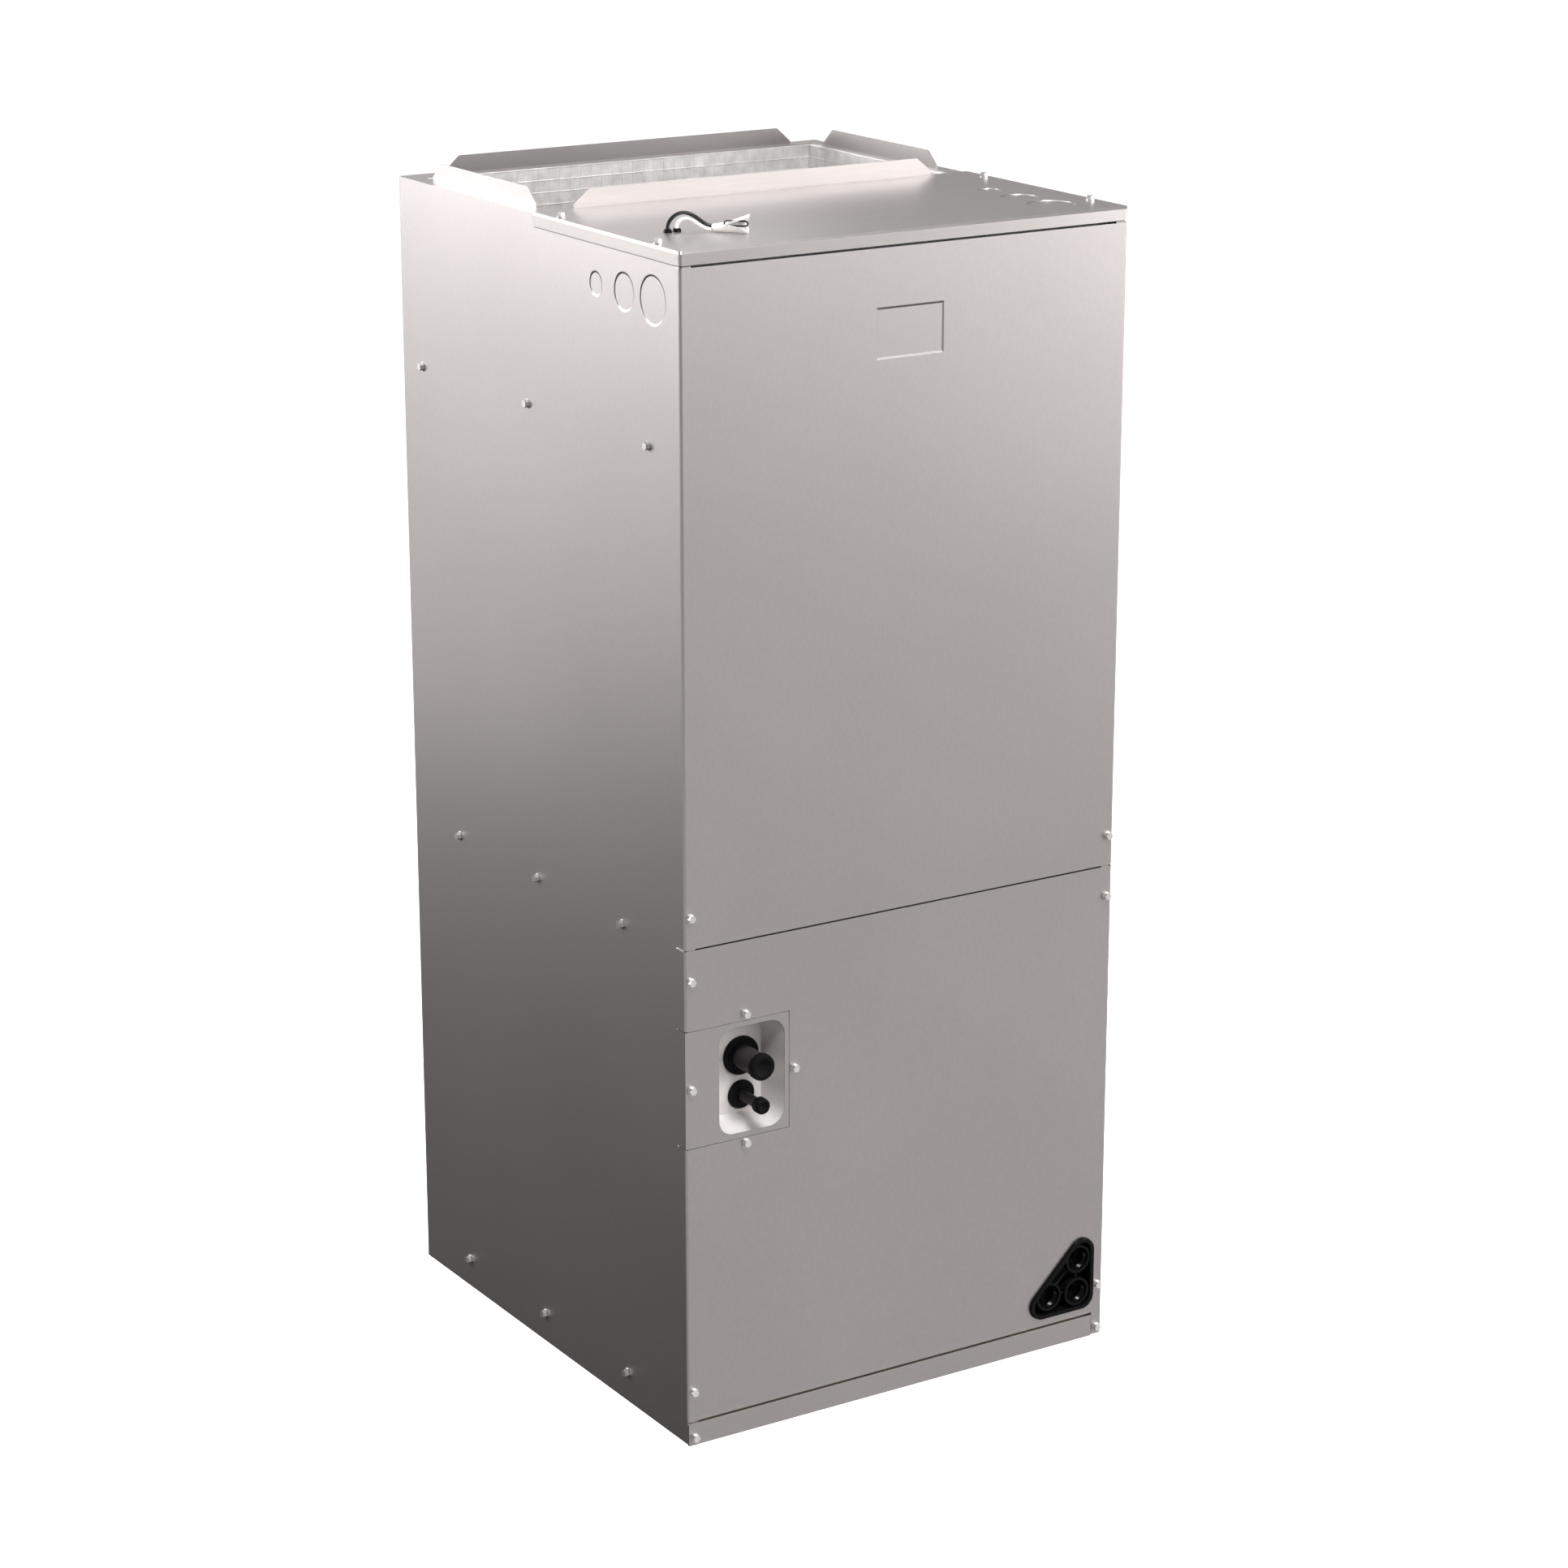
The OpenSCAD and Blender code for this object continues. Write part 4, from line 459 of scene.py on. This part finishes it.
finishes = {
    "cabinet_sheet": prepainted_steel("prepainted steel, cabinet", "#BDB7B6", "#B7B1B0",
                                      grain_scale=(9, 9, 5), gloss=(0.36, 0.4)),
    "cover_sheet": prepainted_steel("prepainted steel, cover", "#C6C0BE", "#BEB8B6",
                                    grain_scale=(0.5, 16, 16), gloss=(0.28, 0.34)),
    "galvanised": galvanised_steel("galvanised steel", "#B8BABC", "#8F9295"),
    "foil_insulation": foil_facing("foil facing"),
    "screw_steel": zinc_plated("zinc plated steel"),
    "fin_aluminium": fin_stock("aluminium fin stock"),
    "copper": drawn_copper("drawn copper"),
    "brass": turned_brass("turned brass"),
    "black_plastic": moulded_black("moulded polypropylene", roughness=0.38, grain_mm=1.4),
    "black_rubber": moulded_black("moulded rubber", roughness=0.6, grain_mm=0.9),
    "white_wire": smooth_plastic("white wire insulation", "#F9F8F6", "#F1F0EE"),
    "motor_paint": sprayed_enamel("black enamel"),
    "machined_steel": ground_steel("ground steel"),
    "capacitor_can": galvanised_steel("drawn aluminium can", "#C4C6C8", "#BABCBE"),
    "board": solder_mask("solder mask"),
    "transformer_steel": sprayed_enamel("transformer enamel"),
    "card": brown_card("filter frame card"),
    "filter_cloth": spun_polyester("spun polyester"),
}

# Sheet pieces that show how they were pressed: the dish, the knockouts, the cover's fold; with painted light
# in the dish and a painted shadow under the skirt

side_marks = [((0, y, SIDE_KNOCKOUT_Z), (r,)) for y, r in KNOCKOUTS]
cover_marks = [((COVER_KNOCKOUT_X, y, 0), (r,)) for y, r in KNOCKOUTS]
special = {
    # the dish is painted paler, a painted light
    "tubing_panel": drawn_steel_painted_light("prepainted steel, drawn, painted light", finishes["cabinet_sheet"]),
    # the sides also carry a painted shadow under the cover's skirt
    "cabinet_wrapper": stamped_steel("prepainted steel, stamped sides", finishes["cabinet_sheet"], (0, 1, 1),
                                     side_marks, wash="#A39E9D"),
    "top_cover": stamped_steel("prepainted steel, stamped cover", finishes["cover_sheet"], (1, 1, 0),
                               cover_marks, folded=True),
    "upper_panel": stamped_steel("prepainted steel, stamped panel", finishes["cabinet_sheet"], (1, 0, 1),
                                 [(BREAKER_PLACE, BREAKER_HALF)]),
}

for part in frame["record"]["subparts"]:
    shape = nodes[part["node"]]
    shape.data.materials.clear()
    shape.data.materials.append(special.get(part["node"], finishes[part["material_slot"]]))


# How pieces are made

def ring(k, count):
    """The angle of step k of count round a circle."""
    return 2 * math.pi * k / count


def tube_faces(rings, around, start=0):
    """Faces between rings of points that follow each other."""
    return [(start + i * around + k, start + i * around + (k + 1) % around,
             start + (i + 1) * around + (k + 1) % around, start + (i + 1) * around + k)
            for i in range(rings - 1) for k in range(around)]


def placed(name, data):
    """An object in the scene for a mesh or a curve."""
    piece = bpy.data.objects.new(name, data)
    bpy.context.collection.objects.link(piece)
    return piece


def wire(name, points, diameter, finish, closed=False):
    """A round wire or lead along points in metres."""
    line = bpy.data.curves.new(name, "CURVE")
    line.dimensions = "3D"
    line.bevel_depth = diameter / 2
    line.bevel_resolution = 4
    line.use_fill_caps = True
    spline = line.splines.new("POLY")
    spline.points.add(len(points) - 1)
    spline.use_cyclic_u = closed
    for at, q in zip(spline.points, points):
        at.co = (*q, 1)
    line.materials.append(finish)
    return placed(name, line)


def mesh_piece(name, verts, faces, finish, body, smooth=True):
    """A mesh in metres that rides on a body."""
    data = bpy.data.meshes.new(name)
    data.from_pydata([tuple(q) for q in verts], [], faces)
    data.validate()
    data.polygons.foreach_set("use_smooth", [smooth] * len(data.polygons))
    data.materials.append(finish)
    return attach(placed(name, data), body)


class Assembly:
    """Collects small shapes in millimetres, each with its own finish, into one mesh that rides on a body."""

    def __init__(self, name):
        self.name, self.mesh, self.finishes = name, bmesh.new(), []

    def block(self, low, high, finish, round_mm):
        """A block with rounded edges."""
        old = set(self.mesh.faces)
        made = bmesh.ops.create_cube(self.mesh, size=1)["verts"]
        for v in made:
            v.co = Vector([(a + b) / 2 + c * (b - a) for c, a, b in zip(v.co, low, high)])
        edges = list(dict.fromkeys(e for v in made for e in v.link_edges))
        bmesh.ops.bevel(self.mesh, geom=edges, offset=round_mm, segments=2, profile=0.5, affect="EDGES")
        self.paint(old, finish)

    def turned(self, profile, centre, finish, around=20):
        """A turned shape along Y from (radius, distance along the axis) pairs."""
        old = set(self.mesh.faces)
        turn = Vector((0, 0, 1)).rotation_difference(Vector((0, 1, 0))).to_matrix()
        rings = [[self.mesh.verts.new(Vector(centre) + turn @ Vector((
            r * math.cos(ring(k, around)), r * math.sin(ring(k, around)), h)))
            for k in range(around)] for r, h in profile]
        for one, two in zip(rings, rings[1:]):
            for k in range(around):
                self.mesh.faces.new((one[k], one[(k + 1) % around], two[(k + 1) % around], two[k]))
        self.mesh.faces.new(rings[0][::-1])
        self.mesh.faces.new(rings[-1])
        self.paint(old, finish)

    def paint(self, old, finish):
        """Gives the faces that are new since old their finish."""
        if finish not in self.finishes:
            self.finishes.append(finish)
        for face in self.mesh.faces:
            if face not in old:
                face.material_index = self.finishes.index(finish)
                face.smooth = True

    def finish(self, body, record_slot):
        """The finished piece, riding on its body."""
        bmesh.ops.recalc_face_normals(self.mesh, faces=self.mesh.faces)
        bmesh.ops.scale(self.mesh, vec=(MM, MM, MM), verts=self.mesh.verts)
        data = bpy.data.meshes.new(self.name)
        self.mesh.to_mesh(data)
        self.mesh.free()
        for used in self.finishes:
            data.materials.append(used)
        data.set_sharp_from_angle(angle=math.radians(40))
        piece = placed(self.name, data)
        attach(piece, body)
        return piece


# Low voltage leads on the top cover, from their bushings to the sleeve

LEAD_D = 3.6 * MM
BLACK_EXIT = Vector((-198.0, -173.0, 1146.0)) * MM
WHITE_EXIT = Vector((-188.4, -173.0, 1146.0)) * MM
BLACK_ROUTE = [
    (0, 0, 0), (0, 0, 3), (1.2, -0.4, 6.2), (3.2, -1.3, 9.3), (6, -2.6, 12), (9.4, -4.2, 13.9),
    (13.2, -6, 14.5), (17, -7.9, 13.8), (20.6, -9.6, 12), (24, -11.2, 9.5), (27.2, -12.7, 6.8),
    (30.2, -14.1, 4.4), (33, -15.5, 2.9), (35.8, -17, 2.2)]
WHITE_ROUTE = [
    (0, 0, 0), (0, 0, 2.4), (0.8, -0.8, 4.8), (2.1, -2, 7), (4.2, -3.8, 8.6), (6.9, -6.1, 9),
    (9.9, -8.6, 7.9), (12.8, -11.1, 5.6), (15.6, -13.4, 3.3), (18.3, -15.7, 1.4), (21, -18, 0.1),
    (24.05, -20.4, -0.6)]


def smooth_route(points, steps):
    """A smooth curve through points, with steps stretches between each two."""
    points = [Vector(q) for q in points]
    ends = [2 * points[0] - points[1]] + points + [2 * points[-1] - points[-2]]
    route = []
    for a, b, c, d in zip(ends, ends[1:], ends[2:], ends[3:]):
        for k in range(steps):
            t = k / steps
            route.append(0.5 * (2 * b + (c - a) * t + (2 * a - 5 * b + 4 * c - d) * t ** 2
                                + (3 * b - a - 3 * c + d) * t ** 3))
    return route + [points[-1]]


black_line = [BLACK_EXIT + q * MM for q in smooth_route(BLACK_ROUTE, 2)]
white_line = [WHITE_EXIT + q * MM for q in smooth_route(WHITE_ROUTE, 2)]
black_insulation = smooth_plastic("black wire insulation", "#101012", "#1B1B1D")
black_lead = wire("black_lead", black_line, LEAD_D, black_insulation)
white_lead = wire("white_lead", white_line, LEAD_D, finishes["white_wire"])
for lead, node in ((black_lead, "lead_black"), (white_lead, "lead_white")):
    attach(lead, "cabinet")
    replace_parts(lead, node)


# Sleeve over the two leads' ends: nipped at its neck, its mouth open like a bow with a dark loop in it

SLEEVE_AT = Vector((-163.0, -192.0, 1143.3))
SLEEVE_TURN = math.radians(-42)
SLEEVE_LENGTH = 34.0
NECK_TALL, NECK_THICK, MOUTH_TALLER, MOUTH_THICKER = 3.5, 3.9, 5.0, 1.0
NEAR_SLIT, FAR_SLIT, SLIT_SPREAD = 21.0, 3.0, 0.42
WAIST, WAIST_SPREAD, LIP_SHIFT = 0.3, 0.45, 2.6
LIFT, ROUNDNESS = 0.1, 0.98
along = Vector((math.cos(SLEEVE_TURN), math.sin(SLEEVE_TURN), 0))
beside = Vector((-along.y, along.x, 0))


def sleeve_point(x, y, z):
    """A point from the sleeve's own length, width and height, in metres."""
    return (SLEEVE_AT + along * x + beside * y + Vector((0, 0, z))) * MM


def bow_sleeve(name, finish, stations=18, around=40):
    """A thin shell, round at the neck, slit open at its near side between an upper and a lower lip."""
    verts = []
    for i in range(stations + 1):
        t = i / stations
        flare = t ** 1.5
        tall, thick = NECK_TALL + MOUTH_TALLER * flare, NECK_THICK + MOUTH_THICKER * flare
        for k in range(around):
            side, rise = math.cos(ring(k, around)), math.sin(ring(k, around))
            slit = (NEAR_SLIT if side < 0 else FAR_SLIT) * flare * math.exp(-(rise / SLIT_SPREAD) ** 2)
            waist = 1 - WAIST * flare * math.exp(-(rise / WAIST_SPREAD) ** 2)
            verts.append(sleeve_point(SLEEVE_LENGTH * t - slit,
                                      thick * waist * side - LIP_SHIFT * flare * (1 - rise),
                                      LIFT + tall + ROUNDNESS * tall * rise))
    made = mesh_piece(name, verts, tube_faces(stations + 1, around), finish, "cabinet")
    wall = made.modifiers.new("wall", "SOLIDIFY")
    wall.thickness = 0.5 * MM
    wall.offset = -1
    return made


sleeve = bow_sleeve("lead_end_sleeve", smooth_plastic("bright white sleeve", "#FBFAF9", "#F4F3F1"))
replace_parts(sleeve, "lead_sleeve")

LOOP_BACK, LOOP_FRONT, LOOP_Y, LOOP_Z, LOOP_R, LOOP_D = 14.0, 31.0, -3.4, 8.4, 2.2, 1.5
turns = [math.pi * k / 8 for k in range(9)]
loop = [sleeve_point(end + way * LOOP_R * math.sin(a), LOOP_Y, LOOP_Z + way * LOOP_R * math.cos(a))
        for end, way in ((LOOP_FRONT, 1), (LOOP_BACK, -1)) for a in turns]
lead_loop = wire("lead_loop", loop, LOOP_D * MM, black_insulation, closed=True)
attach(lead_loop, "cabinet")


# Coil: stamped fins on copper tubes, in the place of the solid slabs. The fins stand 2.4 mm apart, a little
# coarser than the real 1.8 mm, so that the gaps between them show.

COIL_LEAN = math.radians(21.8)
COIL_LENGTH, COIL_HALF = 421.6, 22.0
COIL_FOOT_X = round(start_of("coil_fins_left", X) + COIL_HALF * math.cos(COIL_LEAN), 2)
COIL_FOOT_Z = round(start_of("coil_fins_left", Z) + COIL_HALF * math.sin(COIL_LEAN), 2)
COIL_FRONT, COIL_BACK = start_of("coil_fins_left", Y), end_of("coil_fins_left", Y)
FIN_PITCH, FIN_T, FIN_WAVE = 2.4, 0.25, 0.45
FIRST_FIN, END_ROOM = 0.3, 1.3
TUBE_ROWS, TUBES_IN_ROW = (-11.18, 11.18), 16
FIRST_TUBE, TUBE_PITCH, TUBE_R, TUBE_PAST = 12, 25.4, 4.76, 0.5


def slab_point(side, x, y, z):
    """A point of a slab from its own x and z, side -1 being the left slab, in metres."""
    across = z * math.sin(COIL_LEAN) + x * math.cos(COIL_LEAN) + COIL_FOOT_X
    return Vector((-side * across, y, COIL_FOOT_Z + z * math.cos(COIL_LEAN) - x * math.sin(COIL_LEAN))) * MM


def fin_stack(name, node, side):
    """Stack of fins, each a thin plate with two waves across the airway."""
    verts, faces = [], []
    columns = [(-COIL_HALF, 0), (-COIL_HALF / 2, FIN_WAVE), (0, 0), (COIL_HALF / 2, FIN_WAVE), (COIL_HALF, 0)]
    n = len(columns)
    count = int((COIL_BACK - COIL_FRONT) / FIN_PITCH)
    for i in range(count + 1):
        y = COIL_FRONT + FIRST_FIN + i * (COIL_BACK - COIL_FRONT - END_ROOM) / count
        at = len(verts)
        for z in (0, COIL_LENGTH):
            for shift in (0, FIN_T):
                verts += [slab_point(side, x, y + wave + shift, z) for x, wave in columns]
        for k in range(n - 1):
            faces += [(at + k, at + k + 1, at + 2 * n + k + 1, at + 2 * n + k),
                      (at + n + k, at + 3 * n + k, at + 3 * n + k + 1, at + n + k + 1),
                      (at + k, at + n + k, at + n + k + 1, at + k + 1),
                      (at + 2 * n + k, at + 2 * n + k + 1, at + 3 * n + k + 1, at + 3 * n + k)]
        for k in (0, n - 1):
            faces.append((at + k, at + 2 * n + k, at + 3 * n + k, at + n + k))
    stack = mesh_piece(name, verts, faces, finishes["fin_aluminium"], "cabinet", smooth=False)
    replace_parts(stack, node)


def tube_bank(name, side, around=14):
    """The tubes that the fins are pressed on to, all along the coil."""
    verts, faces = [], []
    for row in TUBE_ROWS:
        for i in range(TUBES_IN_ROW):
            faces += tube_faces(2, around, len(verts))
            verts += [slab_point(side, row + TUBE_R * math.cos(ring(k, around)), y,
                                 FIRST_TUBE + i * TUBE_PITCH + TUBE_R * math.sin(ring(k, around)))
                      for y in (COIL_FRONT - TUBE_PAST, COIL_BACK + TUBE_PAST) for k in range(around)]
    mesh_piece(name, verts, faces, finishes["copper"], "cabinet")


for side, word in ((-1, "left"), (1, "right")):
    fin_stack("coil_fins_" + word + "_stamped", "coil_fins_" + word, side)
    tube_bank("coil_tubes_" + word, side)


# Blacked sleeves on the two stubs, from their grommets to their caps

blacked = moulded_black("blacked tube", roughness=0.55, grain_mm=1.2, dark="#373536", light="#454344")


def stub_sleeve(name, z, radius, front, around=36):
    """A thin sleeve round a stub with a rolled edge at the cap."""
    profile = [(radius + 0.02, GROMMET_FACE - 0.05), (radius + 0.45, GROMMET_FACE - 0.65),
               (radius + 0.45, front + 1.6), (radius + 0.75, front + 1.1), (radius + 0.6, front + 0.3),
               (radius + 0.02, front)]
    verts = [Vector((STUB_X + r * math.cos(ring(k, around)), y, z + r * math.sin(ring(k, around)))) * MM
             for r, y in profile for k in range(around)]
    made = mesh_piece(name, verts, tube_faces(len(profile), around), blacked, "cabinet")


stub_sleeve("suction_stub_sleeve", SUCTION_Z, SUCTION_R, -275.6)
stub_sleeve("liquid_stub_sleeve", LIQUID_Z, LIQUID_R, -273.4)


# Pipe threads deep in the three drain ports

PORTS = ((210.7, 53.0), (176.7, 55.0), (211.7, 88.0))
PORT_R, THREAD_PITCH, THREAD_HALF, THREAD_DEPTH = 12.3, 1.81, 0.8, 0.75
THREAD_TURNS, THREAD_START, STEPS_PER_TURN, RUN_OUT = 4, -267.6, 28, 8
THREAD_ROOT = PORT_R + 0.05

verts, faces = [], []
for x, z in PORTS:
    at = len(verts)
    steps = THREAD_TURNS * STEPS_PER_TURN
    for i in range(steps + 1):
        a = ring(i, STEPS_PER_TURN)
        y = THREAD_START + THREAD_PITCH * i / STEPS_PER_TURN
        crest = PORT_R - THREAD_DEPTH * min(1, i / RUN_OUT, (steps - i) / RUN_OUT)
        for r, shift in ((THREAD_ROOT, -THREAD_HALF), (crest, 0), (THREAD_ROOT, THREAD_HALF)):
            verts.append(Vector((x + r * math.cos(a), y + shift, z + r * math.sin(a))) * MM)
    faces += [(at + 3 * i + k, at + 3 * i + k + 1, at + 3 * i + k + 4, at + 3 * i + k + 3)
              for i in range(steps) for k in (0, 1)]
polished = moulded_black("moulded polypropylene, threads", roughness=0.14, grain_mm=1.4, shine=0.9)
threads = mesh_piece("drain_port_threads", verts, faces, polished, "cabinet")


# Rubber caps on the stubs' ends, shorter than the solids' caps, as the photograph shows them

SUCTION_CAP = [(0.4, 0.9), (6.8, 0.9), (7.4, 0.4), (10.6, 0.1), (12.2, 0.5), (12.9, 1.5), (13.1, 3.2),
               (13.1, 6.6), (12.6, 7.4), (11.8, 7.6)]
LIQUID_CAP = [(0.4, 0.8), (3.4, 0.8), (3.9, 0.4), (6, 0.1), (7.1, 0.5), (7.7, 1.5), (7.9, 3), (7.9, 8.6),
              (7.3, 9.5), (5.6, 9.8)]

stub_ends = Assembly("stub_end_caps")
stub_ends.turned(SUCTION_CAP, (STUB_X, STUB_END, SUCTION_Z), finishes["black_rubber"], around=40)
stub_ends.turned(LIQUID_CAP, (STUB_X, STUB_END, LIQUID_Z), finishes["black_rubber"], around=32)
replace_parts(stub_ends.finish("cabinet", "black_rubber"), "stub_caps")


# Components on the control board: two relays, three capacitors, a row of posts, five blades and four screws

BOARD_X, BOARD_Z = start_of("control_board", X), start_of("control_board", Z)
STANDOFF_AND_BOARD = 7.6
BOARD_Y = end_of("control_board", Y) - STANDOFF_AND_BOARD
RELAY = (15, 15, 19)
CAN = [(4.9, 0.1), (5, -0.6), (5, -13), (4.6, -14), (4.4, -13.8), (0.5, -13.6)]
POST = [(0.6, 0.1), (0.6, -1.2), (1.5, -1.6), (1.5, -5.6), (0.6, -6), (0.3, -6.4)]
BLADE = [(2.6, -8.4), (2.6, -9.8), (2.2, -10.4), (0.4, -10.4)]
BOARD_SCREW = [(2.9, 0.1), (2.9, -1.4), (2.3, -2.2), (0.4, -2.2)]

nylon = smooth_plastic("white nylon", "#E9E7E1", "#DEDBD4")
blue_sleeve = smooth_plastic("blue capacitor sleeve", "#1D3F77", "#19376A")
tin = zinc_plated("tinned leads")
winding_tape = smooth_plastic("amber winding tape", "#B98A2E", "#A87B26")

board_parts = Assembly("board_components")
for dx, dz in ((42, 24), (60, 24)):
    low = Vector((BOARD_X + dx, BOARD_Y - RELAY[1], BOARD_Z + dz))
    board_parts.block(low, low + Vector((RELAY[0], RELAY[1] + 0.1, RELAY[2])), finishes["black_plastic"],
                      round_mm=0.8)
for dx, dz in ((20, 44), (33, 44), (84, 34)):
    board_parts.turned(CAN, (BOARD_X + dx, BOARD_Y, BOARD_Z + dz), blue_sleeve)
for k in range(6):
    board_parts.turned(POST, (BOARD_X + 44 + 5 * k, BOARD_Y, BOARD_Z + 47.5), nylon, around=12)
for k in range(5):
    board_parts.turned(BLADE, (BOARD_X + 48.5 + 7.6 * k, BOARD_Y - 0.2, BOARD_Z + 16), tin)
for dx in (7.5, 83.5):
    for dz in (7.5, 67.5):
        board_parts.turned(BOARD_SCREW, (BOARD_X + dx, BOARD_Y, BOARD_Z + dz), tin)
board_parts.finish("cabinet", "board")


# The transformer's winding in its tape, with a nylon strip round it and the four screws of its frame

CORE_X, CORE_Y, CORE_Z = middle_of("transformer", X), start_of("transformer", Y), middle_of("transformer", Z)
TAPED_COIL = ((-20.4, -0.5, -18.4), (20.4, 9.8, 18.4))
STRIP = ((-20.7, 3.1, -6), (20.7, 5.5, 6))
FRAME_SCREW = [(3.4, 0.1), (3.4, -1.6), (2.6, -2.4), (0.4, -2.4)]
FRAME_SCREW_X, FRAME_SCREW_Y, FRAME_SCREW_Z = 22, 9.9, 19.5


def on_core(x, y, z):
    """A point from the middle of the transformer's front."""
    return CORE_X + x, CORE_Y + y, CORE_Z + z


winding = Assembly("transformer_winding")
winding.block(on_core(*TAPED_COIL[0]), on_core(*TAPED_COIL[1]), winding_tape, round_mm=3.0)
winding.block(on_core(*STRIP[0]), on_core(*STRIP[1]), nylon, round_mm=0.6)
for x in (-FRAME_SCREW_X, FRAME_SCREW_X):
    for z in (-FRAME_SCREW_Z, FRAME_SCREW_Z):
        winding.turned(FRAME_SCREW, on_core(x, FRAME_SCREW_Y, z), tin)
winding.finish("cabinet", "transformer_steel")


# Rounded edges on the filter cover and the drain fitting, which catch the light

def soften(node, width_mm, segments=2):
    """Small rounds on a node's sharp edges."""
    shape = nodes[node]
    weld = shape.modifiers.new("weld", "WELD")
    weld.merge_threshold = 0.002 * MM
    merge = shape.modifiers.new("flat faces", "DECIMATE")
    merge.decimate_type = "DISSOLVE"
    merge.angle_limit = math.radians(1)
    bevel = shape.modifiers.new("edge", "BEVEL")
    bevel.width = width_mm * MM
    bevel.segments = segments
    bevel.limit_method = "ANGLE"
    bevel.angle_limit = math.radians(35)
    bevel.use_clamp_overlap = True
    bevel.harden_normals = True


soften("filter_cover", 0.9)
soften("drain_pan", 0.4)


# Soft studio light: each softbox has its place, the point it faces, its width, its height and its watts

SOFTBOXES = (
    ("front fill", (1.4, -3.6, 1.9), (0, 0, 0.7), 2.4, 1.8, 38),
    ("right fill", (2.6, -2.2, 1.2), (0, -0.27, 0.7), 1.2, 1.6, 30),
    ("over the top", (0.2, 0.9, 2.9), (0, 0, 1.1), 1.8, 1.2, 27),
    ("high left", (-1.2, 1.2, 2.6), (0, 0, 1.14), 1.0, 1.0, 12),
    ("above the front", (-0.15, -1.6, 2.9), (-0.15, -0.27, 0.33), 1.0, 0.6, 68),
    ("beyond the duct", (0.6, 1.3, 1.75), (-0.15, -0.2, 1.143), 0.5, 0.5, 0.5),
    ("left low", (-1.35, 1.9, 0.45), (-0.24, 0.1, 0.75), 1.1, 0.9, 2.2),
    ("left wall", (-1.7, 1.7, 1.5), (-0.24, 0.1, 1.05), 0.9, 0.8, 44),
)

for name, place, towards, width, height, power in SOFTBOXES:
    light = bpy.data.lights.new(name, "AREA")
    light.shape = "RECTANGLE"
    light.size = width
    light.size_y = height
    light.energy = power
    softbox = placed(name, light)
    softbox.location = place
    softbox.rotation_euler = (Vector(towards) - Vector(place)).to_track_quat("-Z", "Y").to_euler()


# Studio as the metal mirrors it, from below to above: a bright band just under the horizon, dim elsewhere.
# Each tone has its height, and the bands lean with the distance in front or behind.

ROOM_TONES = ((-0.5, 0.0), (-0.42, 0.13), (-0.34, 0.02), (-0.24, 0.76), (-0.1, 0.1), (0.05, 0.06),
              (0.3, 0.08), (0.9, 0.06))
ROOM_LEAN = -0.25
ROOM_STRENGTH = 2.6

world = bpy.data.worlds.new("studio")
bpy.context.scene.world = world
world.use_nodes = True
room = world.node_tree
direction = add(room, "ShaderNodeTexCoord").outputs["Generated"]
toward = add(room, "ShaderNodeSeparateXYZ", {"Vector": direction}).outputs
aside = add(room, "ShaderNodeMath", {0: toward["Y"], 1: ROOM_LEAN}, operation="MULTIPLY")
level = add(room, "ShaderNodeMath", {0: toward["Z"], 1: aside}, operation="ADD")
across = add(room, "ShaderNodeMapRange", {"Value": level, "From Min": -1})
tones = add(room, "ShaderNodeValToRGB", {"Fac": across})
while len(tones.color_ramp.elements) < len(ROOM_TONES):
    tones.color_ramp.elements.new(0.5)
for stop, (at, tone) in zip(tones.color_ramp.elements, ROOM_TONES):
    stop.position = (at + 1) / 2
    stop.color = (tone, tone, tone, 1)
join(room, room.nodes["Background"], {"Color": tones, "Strength": ROOM_STRENGTH})


# Plain pale floor, with a backdrop of the same paint for low views; neither is mirrored in the sheet

FLOOR_REACH, WALL_REACH, WALL_TOP, WALL_FOOT = 60, 58, 30, -0.01


def stage_mesh(name, verts, faces, paint):
    """A surface that isn't part of the object and gives it no light."""
    data = bpy.data.meshes.new(name)
    data.from_pydata(verts, [], faces)
    data.materials.append(paint)
    shown = placed(name, data)
    shown.visible_diffuse = False
    shown.visible_glossy = False
    return shown


def square(reach, z):
    """The corners of a level square round the object."""
    return [(-reach, -reach, z), (reach, -reach, z), (reach, reach, z), (-reach, reach, z)]


floor_paint = material("matt white floor", "#F4F3F2", roughness=0.9, Emission_Color=linear("#FFFFFF"),
                       Emission_Strength=1.0)[0]
stage_mesh("floor", square(FLOOR_REACH, 0), [(0, 1, 2, 3)], floor_paint)
backdrop = stage_mesh("backdrop", square(WALL_REACH, WALL_FOOT) + square(WALL_REACH, WALL_TOP),
                      [(0, 1, 5, 4), (1, 2, 6, 5), (2, 3, 7, 6), (3, 0, 4, 7), (4, 5, 6, 7)], floor_paint)
backdrop.visible_shadow = False

bpy.context.scene.view_settings.view_transform = "Standard"
